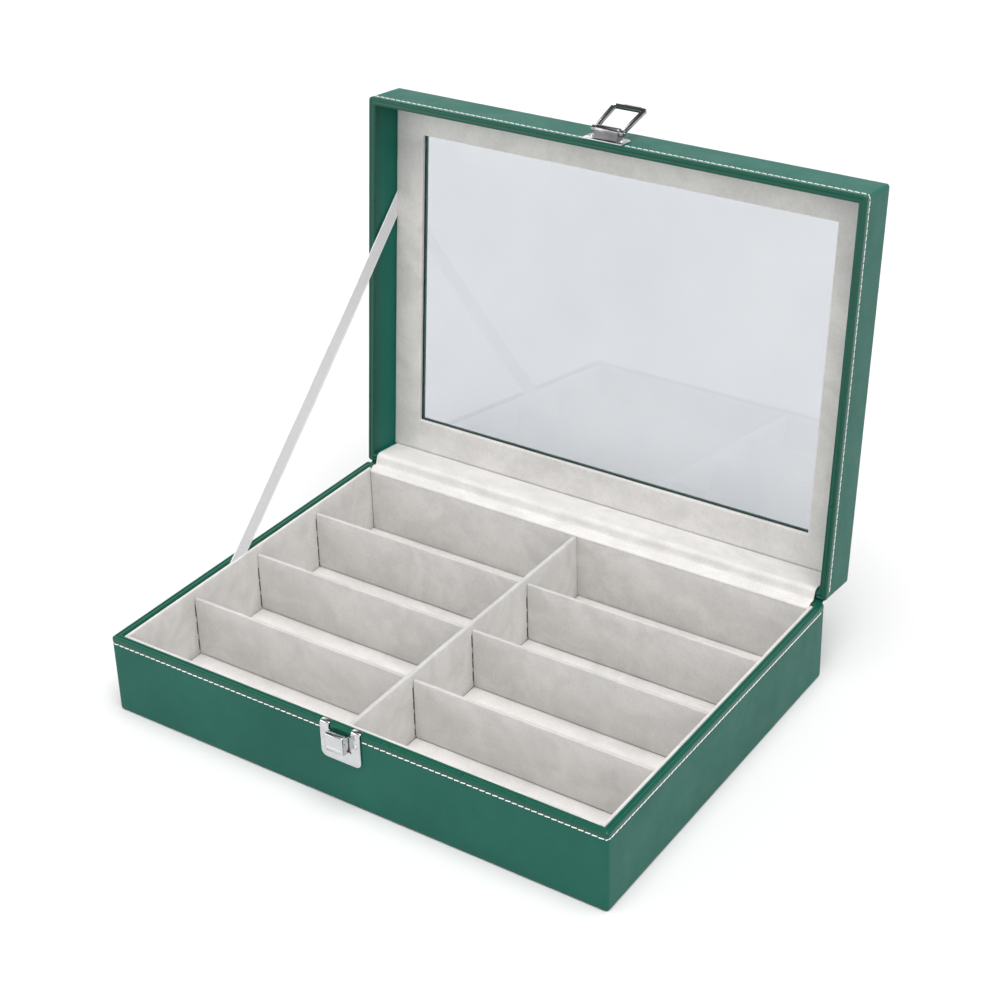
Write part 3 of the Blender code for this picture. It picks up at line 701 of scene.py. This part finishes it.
def sliceEvery(bm, step):
    # cuts a block into a grid, so that it can be made uneven
    spots = [vert.co for vert in bm.verts]
    low = [min(spot[axis] for spot in spots) for axis in range(3)]
    high = [max(spot[axis] for spot in spots) for axis in range(3)]
    for axis in range(3):
        count = int((high[axis] - low[axis]) / step)
        normal = [0, 0, 0]
        normal[axis] = 1
        for cut in range(1, count):
            place = [0, 0, 0]
            place[axis] = low[axis] + (high[axis] - low[axis]) * cut / count
            cutAt(bm, place, normal)


def velvetBoard(node, cover, edge=liningSet["edge"], wave=liningSet["wave"]):
    low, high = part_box(node)
    edge = min(edge * mm, min(high - low) * 0.42)
    bm = bmesh.new()
    bmesh.ops.create_cube(bm, size=1)
    bmesh.ops.scale(bm, vec=high - low, verts=bm.verts)
    bmesh.ops.translate(bm, vec=(low + high) / 2, verts=bm.verts)
    roundOff(bm, bm.edges[:], edge, "EDGES", 4)
    sliceEvery(bm, liningSet["cell"] * mm)
    ripple(bm, wave * mm, 60, 10 * low.x + low.y)
    return makePiece(bm, node + "_velvet", [cover], "base", [node], sharp=60)


for node in sorted(nodes):
    if node.endswith("liner"):
        velvetBoard(node, linerVelvet)
    elif "_divider" in node:
        velvetBoard(node, centreVelvet if "centre" in node else crossVelvet)
    elif node.endswith("floor_pad"):
        velvetBoard(node, shadedPadVelvet, liningSet["padEdge"], liningSet["padWave"])


seamShadeSet = {"offset": 0.1, "width": 0.3, "start": 4, "dash": (3, 9), "pause": (0.5, 5)}


def dividerSeamShade():
    # painted shade: dark dashes down the corners where a divider meets its neighbours, for the narrow gaps
    # there
    dashes = random.Random(5)
    bm = bmesh.new()
    off, width = seamShadeSet["offset"] * mm, seamShadeSet["width"] * mm
    shortest, longest = seamShadeSet["dash"]
    for node in sorted(nodes):
        if "_divider_" not in node:
            continue
        low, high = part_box(node)
        for x, y in ((x, y) for x in (low.x - off, high.x + off) for y in (low.y, high.y)):
            z = low.z + dashes.uniform(0, seamShadeSet["start"]) * mm
            while z < high.z - longest * mm:
                length = dashes.uniform(shortest, longest) * mm
                made = bmesh.ops.create_cube(bm, size=1)["verts"]
                bmesh.ops.scale(bm, vec=(width, width, length), verts=made)
                bmesh.ops.translate(bm, vec=(x, y, z + length / 2), verts=made)
                z += length + dashes.uniform(*seamShadeSet["pause"]) * mm
    makePiece(bm, "divider_seam_shade", [seamShade], "base")


dividerSeamShade()


def lidMat():
    # the velvet frame that holds the pane, with a rolled edge round the window
    outer, inner = caseSet["wall"] + lidSet["gap"], lidSet["windowMargin"]
    extra = lidSet["backExtra"]
    rim = lidRim / mm
    face, top = rim + matFace, rim + matTop
    section = levels([(outer, top), (outer, face + 0.7), (outer + 0.2, face + 0.2)])
    section += levels([(outer + 0.7, face), (outer + 2.0, face)])
    section += [
        (inset, face, 0, 0, extra * (inset - outer) / (inner - outer)) for inset in lidSet["matCuts"]
    ]
    roll = bend(inner - 0.8, face + 0.8, 0.8, 270, 360)
    section += levels([(inner - 2.4, face), (inner - 1.6, face)] + roll, extra=extra)
    section += levels([(inner, top - 0.1), (inner - 0.1, top)], extra=extra)
    bm = wrapRound(section)
    ripple(bm, 0.09 * mm, 45, 3)
    makePiece(bm, "lid_mat_velvet", [velvet], "lid", ["lid_mat"], openLid, sharp=60)


lidMat()
print("velvet lining made")


# ---- cloth that crosses the hinge ----
def onOpenLid(reach, rise):
    # reach runs from the hinge along the lid, rise from its rim towards the window; gives y and z
    spot = openLid @ Vector((0, hinge.y - reach * mm, lidRim + rise * mm))
    return spot.y, spot.z


def smoothLine(spots, steps):
    # a smooth curve through points given as y and z, and how far along it each new point lies
    points = [Vector((0, *spot)) for spot in spots]
    line = []
    ends = [points[0]] + points + [points[-1]]
    for first, start, end, last in zip(ends, ends[1:], ends[2:], ends[3:]):
        for step in range(steps):
            t = step / steps
            curve = 2 * start + (end - first) * t
            curve += (2 * first - 5 * start + 4 * end - last) * t * t
            curve += (3 * start - first - 3 * end + last) * t ** 3
            line.append(0.5 * curve)
    line.append(points[-1])
    reached = [0.0]
    for start, end in zip(line, line[1:]):
        reached.append(reached[-1] + (end - start).length)
    return line, reached


def atShare(line, reached, share):
    wanted = share * reached[-1]
    for index in range(1, len(line)):
        if reached[index] >= wanted:
            part = (wanted - reached[index - 1]) / max(reached[index] - reached[index - 1], 1e-9)
            return line[index - 1].lerp(line[index], part)
    return line[-1]


def sheetPiece(name, material, columns, rows, place, thick, stands):
    # a flat grid laid where place(across, along) says, both from 0 to 1, and given its thickness
    bm = bmesh.new()
    bm.loops.layers.uv.new("UVMap")
    bmesh.ops.create_grid(bm, x_segments=columns, y_segments=rows, size=0.5, calc_uvs=True)
    for vert in bm.verts:
        vert.co = place(vert.co.x + 0.5, vert.co.y + 0.5)
    piece = addObject(name, meshFrom(bm, name))
    thicken = piece.modifiers.new("thickness", "SOLIDIFY")
    thicken.thickness = thick
    thicken.offset = 0
    graph = bpy.context.evaluated_depsgraph_get()
    piece.data = bpy.data.meshes.new_from_object(piece.evaluated_get(graph))
    piece.modifiers.clear()
    piece.data.materials.append(material)
    piece.data.shade_smooth()
    piece.data.set_sharp_from_angle(angle=math.radians(60))
    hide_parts(*stands)
    return piece


hingeSet = {
    "clothHalf": 160.1,
    "clothThick": 0.55,
    "clothRoll": 0.35,     # how high its loose part strays
    "stripHalf": 165.2,
    "stripThick": 0.8,
    "stripReach": 11.0,
}


def hingeCloth():
    low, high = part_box("back_liner")
    dip = caseSet["hingeDip"]
    wall = caseSet["wall"] + 0.6
    baseTop = rimZ - (dip - 0.6) * mm
    path = [
        (low.y + 0.1 * mm, high.z - 0.3 * mm),
        (low.y + 0.7 * mm, high.z + 0.6 * mm),
        (high.y - 0.2 * mm, high.z + 1.1 * mm),
        (high.y + 0.9 * mm, baseTop),
        (halfY - 2.6 * mm, baseTop + 0.25 * mm),
        (halfY - 0.6 * mm, baseTop),
    ]
    lidSpots = [(0.8, dip - 1.3), (2.6, dip - 0.9), (wall - 1.0, dip - 0.3), (wall + 0.1, dip + 1.2)]
    lidSpots += [(wall + 0.35, 4.5), (wall + 0.25, 9.0), (wall + 0.15, 16.0), (wall, matFace - 0.4)]
    line, reached = smoothLine(path + [onOpenLid(*spot) for spot in lidSpots], 8)
    half = hingeSet["clothHalf"] * mm

    def place(across, along):
        spot = atShare(line, reached, along)
        x = (2 * across - 1) * half
        # soft rolls that wander a little along the hinge, held flat at both glued edges
        loose = math.sin(math.pi * min(max((along - 0.08) / 0.6, 0), 1))
        lift = hingeSet["clothRoll"] * mm * loose * noise.noise(Vector((x * 16, along * 5, 2.0)))
        return Vector((x, spot.y - lift * 0.5, spot.z + lift))

    length = reached[-1]
    cover = paleVelvet("hingeVelvet", True, (2 * half, length, 1))
    thick = hingeSet["clothThick"] * mm
    cloth = sheetPiece("hinge_velvet", cover, 90, 56, place, thick, ["hinge_cloth"])
    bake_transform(cloth)


def hingeStrip():
    off = 0.3 + hingeSet["stripThick"] / 2
    reach = hingeSet["stripReach"]
    backY = halfY + off * mm
    path = [
        (backY, rimZ - reach * mm),
        (backY, rimZ - 5.0 * mm),
        (backY + 0.1 * mm, rimZ - 2.4 * mm),
        (backY + 1.1 * mm, rimZ - 0.9 * mm),
        onOpenLid(-off - 0.1, 2.4),
        onOpenLid(-off, 5.0),
        onOpenLid(-off, reach),
    ]
    line, reached = smoothLine(path, 6)
    half = hingeSet["stripHalf"] * mm

    def place(across, along):
        spot = atShare(line, reached, along)
        return Vector(((2 * across - 1) * half, spot.y, spot.z))

    thick = hingeSet["stripThick"] * mm
    strip = sheetPiece("hinge_leather", plainLeather, 60, 30, place, thick, ["hinge_strip"])
    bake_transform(strip)


ribbonSet = {
    "width": 11.0,
    "thick": 0.34,
    "x": -161.6,
    "footY": -17.0,
    "footZ": -0.9,         # from the rim
    "headReach": 174.0,
    "sway": 0.35,
    "sag": 1.1,
}


def ribbonStay():
    width = ribbonSet["width"] * mm
    foot = Vector((ribbonSet["x"] * mm, ribbonSet["footY"] * mm, rimZ + ribbonSet["footZ"] * mm))
    head = Vector((ribbonSet["x"] * mm, *onOpenLid(ribbonSet["headReach"], matFace - 0.1)))
    run = (head - foot).normalized()
    side = Vector((0, run.z, -run.y))
    lidOut = (openLid.to_3x3() @ Vector((0, 0, 1))).normalized()
    lidAlong = (openLid.to_3x3() @ Vector((0, -1, 0))).normalized()
    footHalf = Vector((0, 1, 0)) * (width / 2 / abs(run.z))
    headHalf = lidAlong * (width / 2 / abs(run.dot(lidOut)))

    def place(across, along):
        u = 2 * across - 1
        spot = (foot + footHalf * u).lerp(head - headHalf * u, along)
        loose = math.sin(math.pi * along)
        twist = noise.noise(Vector((along * 5, 0, 0))) + 0.8 * u * math.sin(4 * along)
        out = ribbonSet["sway"] * mm * loose * twist
        return spot + side * ribbonSet["sag"] * mm * loose + Vector((out, 0, 0))

    length = (head - foot).length
    satin = satinRibbon("satinRibbon", width, length)
    thick = ribbonSet["thick"] * mm
    ribbon = sheetPiece("ribbon", satin, 8, 150, place, thick, ["ribbon_stay"])
    # ribs lie square across the ribbon, though its ends are cut on the slant
    marks = ribbon.data.uv_layers.active.data
    for loop in ribbon.data.loops:
        away = ribbon.data.vertices[loop.vertex_index].co - foot
        marks[loop.index].uv = (away.dot(side) / width + 0.5, away.dot(run) / length)
    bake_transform(ribbon)


hingeCloth()
hingeStrip()
ribbonStay()
print("hinge cloth, hinge strip and ribbon made")


# ---- latch ----
def slab(bm, outline, push):
    # a flat outline pushed along a vector, as a closed block
    face = bm.faces.new([bm.verts.new(point) for point in outline])
    made = bmesh.ops.extrude_face_region(bm, geom=[face])["geom"]
    bmesh.ops.translate(bm, vec=push, verts=only(BMVert, made))


def soften(bm, width, segments=2, least=28):
    bmesh.ops.recalc_face_normals(bm, faces=bm.faces)
    folds = [edge for edge in bm.edges if len(edge.link_faces) == 2]
    folds = [edge for edge in folds if edge.calc_face_angle() > math.radians(least)]
    roundOff(bm, folds, width * mm, "EDGES", segments, clamp_overlap=True)


def plateOutline(half, low, high, roundLow, roundHigh, y):
    bm = bmesh.new()
    spots = ((-half, y, low), (half, y, low), (half, y, high), (-half, y, high))
    corners = [bm.verts.new(spot) for spot in spots]
    bm.faces.new(corners)
    for pair, radius in ((corners[:2], roundLow), (corners[2:], roundHigh)):
        roundOff(bm, pair, radius, "VERTICES", 7)
    bm.faces.ensure_lookup_table()
    points = [vert.co.copy() for vert in bm.faces[0].verts]
    bm.free()
    return points


def bentStrip(bm, path, thick, half, middle=0.0):
    # a strip of sheet metal bent along a line of y and z, its outer face on the line
    line = smoothLine(path, 4)[0]
    inner = []
    for index, spot in enumerate(line):
        ahead = (line[min(index + 1, len(line) - 1)] - line[max(index - 1, 0)]).normalized()
        inner.append(spot + Vector((0, -ahead.z, ahead.y)) * thick)
    outline = [Vector((middle - half, spot.y, spot.z)) for spot in line + inner[::-1]]
    slab(bm, outline, (2 * half, 0, 0))


def roundBar(bm, start, end, radius, segments=20):
    bmesh.ops.create_cone(
        bm,
        cap_ends=True,
        segments=segments,
        radius1=radius,
        radius2=radius,
        depth=(end - start).length,
        matrix=Matrix.Translation((start + end) / 2) @ Matrix.Rotation(math.pi / 2, 4, "Y"),
    )


rivetSet = {
    "x": 10.2,
    # half of the head seen from the side: radius, and depth behind its seat
    "profile": ((0.0, -0.62), (0.55, -0.56), (1.0, -0.36), (1.32, -0.02), (1.38, 0.28), (1.38, 0.5)),
    "seat": 0.25,
}


def rivetPair(plate, z, front, body, turn=None):
    for side, word in ((-1, "left"), (1, "right")):
        bm = bmesh.new()
        start = Vector((side * rivetSet["x"] * mm, (front - rivetSet["seat"]) * mm, z))
        spots = [start + Vector((radius, deep, 0)) * mm for radius, deep in rivetSet["profile"]]
        chain = [bm.verts.new(spot) for spot in spots]
        edges = [bm.edges.new(pair) for pair in zip(chain, chain[1:])]
        bmesh.ops.spin(
            bm,
            geom=chain + edges,
            cent=start,
            axis=(0, 1, 0),
            angle=2 * math.pi,
            steps=20,
            use_merge=True,
            use_duplicate=False,
        )
        bmesh.ops.remove_doubles(bm, verts=bm.verts, dist=0.01 * mm)
        holes = [edge for edge in bm.edges if len(edge.link_faces) == 1]
        bmesh.ops.contextual_create(bm, geom=holes)
        name, stands = f"{plate}_rivet_{word}", f"{body}_latch_{word}_rivet"
        makePiece(bm, name, [nickel], body, [stands], turn)


keeperSet = {
    "halfWidth": 13.5,
    "bottom": 28.7,
    "shoulder": 3.0,       # the plate's top edge below the rim, between the tabs
    "thick": 0.8,
    "corner": 3.8,
    "tabWidth": 6.0,
    "rivetZ": 42.0,
    "catchHalf": 6.0,
    # y is counted from the plate's front; z from the rim for a tab, from the floor for the catch
    "tabPath": ((3.7, 0.84), (1.5, 0.82), (0.6, 0.25), (0.05, -1.0), (0.0, -2.6), (0.0, -4.2)),
    "catchSide": ((0.4, 48.0), (-3.6, 49.6), (-5.9, 49.2), (-5.9, 40.0), (-4.9, 37.7), (0.4, 36.9)),
    # painted shade of the slit beside the catch, out from the catch's side and up from the floor
    "slitShade": ((0.0, 47.0), (0.45, 47.0), (0.45, 39.0), (1.5, 37.2), (0.0, 36.6)),
}
plateFront = -halfY / mm - 0.3 - keeperSet["thick"]


def keeper():
    rim = rimZ / mm
    keys = ("halfWidth", "thick", "tabWidth", "catchHalf")
    half, thick, tab, wide = (keeperSet[key] * mm for key in keys)
    bm = bmesh.new()
    outline = plateOutline(
        half,
        keeperSet["bottom"] * mm,
        (rim - keeperSet["shoulder"]) * mm,
        keeperSet["corner"] * mm,
        0.5 * mm,
        plateFront * mm,
    )
    slab(bm, outline, (0, thick, 0))
    for side in (-1, 1):
        path = [((plateFront + y) * mm, (rim + z) * mm) for y, z in keeperSet["tabPath"]]
        bentStrip(bm, path, 0.55 * mm, tab / 2, side * (half - tab / 2))
    soften(bm, 0.16)
    # the catch stands out of the plate as a hollow box with a pressed panel in its front
    catch = bmesh.new()
    side = [Vector((-wide, (plateFront + y) * mm, z * mm)) for y, z in keeperSet["catchSide"]]
    slab(catch, side, (2 * wide, 0, 0))
    soften(catch, 0.7, 3)
    panel = [face for face in catch.faces if face.normal.y < -0.98 and face.calc_area() > 30 * mm * mm]
    bmesh.ops.inset_region(catch, faces=panel, thickness=0.9 * mm, use_even_offset=True)
    bmesh.ops.inset_region(catch, faces=panel, thickness=0.25 * mm, depth=-0.25 * mm, use_even_offset=True)
    bm.from_mesh(meshFrom(catch, "catch"))
    makePiece(bm, "keeper_plate", [nickel], "base", ["latch_keeper"])
    # painted shade: a dark strip down each side of the catch, open at its foot, for the slits the press
    # left
    bm = bmesh.new()
    y = (plateFront - 0.03) * mm
    for side in (-1, 1):
        outline = [Vector((side * (wide + x * mm), y, z * mm)) for x, z in keeperSet["slitShade"]]
        slab(bm, outline, (0, 0.3 * mm, 0))
    makePiece(bm, "catch_slit_shade", [seamShade], "base")
    rivetPair("keeper", keeperSet["rivetZ"] * mm, plateFront, "base")


bracketSet = {
    "low": 1.2,
    "high": 14.0,
    "corner": 3.2,
    "knuckleHalf": 7.8,
    "knuckle": 2.7,
    "knuckleFoot": 3.8,
    "rivetRise": 7.0,
}


def bracket():
    bm = bmesh.new()
    outline = plateOutline(
        keeperSet["halfWidth"] * mm,
        lidRim + bracketSet["low"] * mm,
        lidRim + bracketSet["high"] * mm,
        0.6 * mm,
        bracketSet["corner"] * mm,
        plateFront * mm,
    )
    slab(bm, outline, (0, keeperSet["thick"] * mm, 0))
    soften(bm, 0.22)
    makePiece(bm, "bracket_plate", [nickel], "lid", ["latch_bracket"], openLid)
    bm = bmesh.new()
    pivotY, pivotZ = shutPivot.y / mm, shutPivot.z / mm
    behind, foot = plateFront + 0.2, bracketSet["knuckleFoot"]
    knuckle = bend(pivotY, pivotZ, bracketSet["knuckle"], 270, 90, 10)
    knuckle = [(behind, pivotZ - foot), *knuckle, (behind, pivotZ + foot)]
    wide = bracketSet["knuckleHalf"]
    slab(bm, [Vector((-wide, y, z)) * mm for y, z in knuckle], (2 * wide * mm, 0, 0))
    soften(bm, 0.3, 3)
    makePiece(bm, "bracket_knuckle", [shadedNickel], "lid", ["latch_bracket"], openLid)
    rivetPair("bracket", lidRim + bracketSet["rivetRise"] * mm, plateFront, "lid", openLid)


loopSet = {
    "halfWidth": 11.8,
    "nearHalf": 10.7,      # half width at the pin, a little less than at the far bar
    "length": 26.6,
    "arm": 3.2,
    "thick": 1.7,
    "corner": 2.6,
    "innerCorner": 0.9,
    "groove": 0.6,
    "eye": 2.0,
    "tabHalf": 5.4,
    # the finger tab's bend, out from the frame and up from its low end
    "tabPath": ((0.2, 2.6), (0.1, 0.6), (-0.1, -1.0), (-0.6, -2.2), (-1.4, -2.8)),
    "tabThick": 0.9,
    "pin": 0.8,
}


def latchLoop():
    # drawn hanging from the pin: a flat frame, dished along its middle, its near side cut away for the eyes
    half, thick, arm = (loopSet[key] * mm for key in ("halfWidth", "thick", "arm"))
    corner, innerCorner = loopSet["corner"] * mm, loopSet["innerCorner"] * mm
    pivot = shutPivot
    y = pivot.y - thick / 2
    low = pivot.z - loopSet["length"] * mm
    high = pivot.z + 3 * arm
    outer = plateOutline(half, low, high, corner, innerCorner, y)
    inner = plateOutline(half - arm, low + arm, high - arm, innerCorner, innerCorner, y)
    bm = bmesh.new()
    order = bm.verts.layers.int.new("order")
    rim = [bm.verts.new(point) for point in outer]
    for index, vert in enumerate(rim):
        vert[order] = index
    edges = [bm.edges.new((vert, rim[index - 1])) for index, vert in enumerate(rim)]
    for vert in only(BMVert, bmesh.ops.extrude_edge_only(bm, edges=edges)["geom"]):
        vert.co = inner[vert[order]]
    made = bmesh.ops.extrude_face_region(bm, geom=bm.faces[:])["geom"]
    bmesh.ops.translate(bm, vec=(0, thick, 0), verts=only(BMVert, made))
    bmesh.ops.recalc_face_normals(bm, faces=bm.faces)
    for way in (-1, 1):
        flat = [face for face in bm.faces if face.normal.y * way > 0.9]
        bmesh.ops.inset_region(bm, faces=flat, thickness=0.7 * mm, use_even_offset=True)
        dished = {vert for face in flat for vert in face.verts}
        bmesh.ops.translate(bm, vec=(0, -way * loopSet["groove"] * mm, 0), verts=list(dished))
    cut = cutAt(bm, (0, 0, pivot.z), (0, 0, 1), clear_outer=True)
    bmesh.ops.holes_fill(bm, edges=only(BMEdge, cut), sides=60)
    soften(bm, 0.16)
    # the frame narrows towards the pin
    for vert in bm.verts:
        share = min(max((vert.co.z - low) / (pivot.z - low), 0), 1)
        vert.co.x *= 1 + share * (loopSet["nearHalf"] / loopSet["halfWidth"] - 1)
    near = loopSet["nearHalf"] * mm
    for side in (-1, 1):
        ends = [Vector((x, pivot.y, pivot.z)) for x in sorted((side * near, side * (near - arm)))]
        roundBar(bm, *ends, loopSet["eye"] * mm)
    finger = bmesh.new()
    path = [(y + out * mm, low + up * mm) for out, up in loopSet["tabPath"]]
    bentStrip(finger, path, loopSet["tabThick"] * mm, loopSet["tabHalf"] * mm)
    soften(finger, 0.25, 3, 50)
    bm.from_mesh(meshFrom(finger, "finger"))
    makePiece(bm, "snap_loop", [shadedNickel], "loop", ["latch_loop"], throwLoop)
    bm = bmesh.new()
    reach = Vector((near + 0.5 * mm, 0, 0))
    roundBar(bm, pivot - reach, pivot + reach, loopSet["pin"] * mm, 16)
    soften(bm, 0.18)
    makePiece(bm, "snap_pin", [shadedNickel], "lid", ["latch_pin"], openLid)


keeper()
bracket()
latchLoop()
print("latch made")

# ---- finishes for the pieces that stay as they are ----
board = pressedBoard("pressedBoard")
pane = windowGlass("windowGlass")
for node, piece in nodes.items():
    if piece.hide_render:
        continue
    if node.endswith("board"):
        finish, slotName = board, "board"
    elif node == "window_glass":
        finish, slotName = pane, "glass"
    else:
        finish, slotName = plainLeather, "leather"
    piece.data.materials.clear()
    piece.data.materials.append(finish)

# ---- floor, light and camera ----
studioSet = {
    "floor": 8.0,
    "floorTone": (0.66, 0.66, 0.66, 1),
    "key": {"place": (2.1, -1.5, 2.0), "size": 1.4, "power": 6, "colour": (1.0, 0.985, 0.96)},
    "fill": {"place": (-2.2, -2.0, 1.5), "size": 1.6, "power": 12, "colour": (0.96, 0.98, 1.0)},
    "dome": {"power": 3.3, "angle": 46.0, "lean": (7.0, 10.0)},
    # height and brightness of the bands in the surroundings
    "sky": (
        (0.50, 0.80), (0.58, 0.60), (0.63, 1.1), (0.69, 2.0),
        (0.74, 0.9), (0.81, 0.06), (0.92, 0.15), (0.97, 0.8),
    ),
    "lens": 72.75,
    "azimuth": 34.262,
    "elevation": 27.855,
    "roll": -1.481,
    "cameraPlace": (0.5742, -0.8042, 0.6996),
    "shift": (-0.0025, -0.0738),
}


def studio():
    bm = bmesh.new()
    bmesh.ops.create_grid(bm, x_segments=2, y_segments=2, size=studioSet["floor"])
    floor = addObject("floor", meshFrom(bm, "floor"))
    floor.location.z = cadLow.z - 0.1 * mm
    tone = studioSet["floorTone"]
    paint = newMaterial("floorPaint", Base_Color=tone, Roughness=0.8, Specular_IOR_Level=0.1)
    floor.data.materials.append(paint[0])
    for name in ("key", "fill"):
        plan = studioSet[name]
        lamp = bpy.data.lights.new(name, "AREA")
        lamp.energy = plan["power"]
        lamp.size = plan["size"]
        lamp.color = plan["colour"]
        light = addObject(name, lamp)
        light.location = plan["place"]
        aim = Vector((0, 0, 0.1)) - light.location
        light.rotation_euler = aim.to_track_quat("-Z", "Y").to_euler()
    lamp = bpy.data.lights.new("dome", "SUN")
    lamp.energy = studioSet["dome"]["power"]
    lamp.angle = math.radians(studioSet["dome"]["angle"])
    light = addObject("dome", lamp)
    light.rotation_euler = [math.radians(lean) for lean in studioSet["dome"]["lean"]] + [0]
    world = bpy.data.worlds.new("studio")
    world.use_nodes = True
    tree = world.node_tree
    way = addNode(tree, "TexCoord")
    height = addNode(tree, "SeparateXYZ", {"Vector": way.outputs["Generated"]}).outputs["Z"]
    bands = addNode(tree, "ValToRGB", {"Fac": span(tree, height, -1.0, 1.0)})
    stops = bands.color_ramp.elements
    for index, (place, bright) in enumerate(studioSet["sky"]):
        stop = stops[index] if index < 2 else stops.new(place)
        stop.position = place
        stop.color = (bright, bright, bright, 1)
    tree.links.new(bands.outputs["Color"], tree.nodes["Background"].inputs["Color"])
    bpy.context.scene.world = world
    lens = bpy.data.cameras.new("camera")
    lens.lens = studioSet["lens"]
    lens.sensor_width = 36
    lens.shift_x, lens.shift_y = studioSet["shift"]
    camera = addObject("camera", lens)
    turn = Matrix.Rotation(math.radians(studioSet["azimuth"]), 4, "Z")
    tip = Matrix.Rotation(math.radians(90 - studioSet["elevation"]), 4, "X")
    roll = Matrix.Rotation(math.radians(studioSet["roll"]), 4, "Z")
    camera.matrix_world = Matrix.Translation(studioSet["cameraPlace"]) @ turn @ tip @ roll
    bpy.context.scene.camera = camera
    bpy.context.scene.view_settings.view_transform = "Standard"


studio()
print("floor, light and camera set")
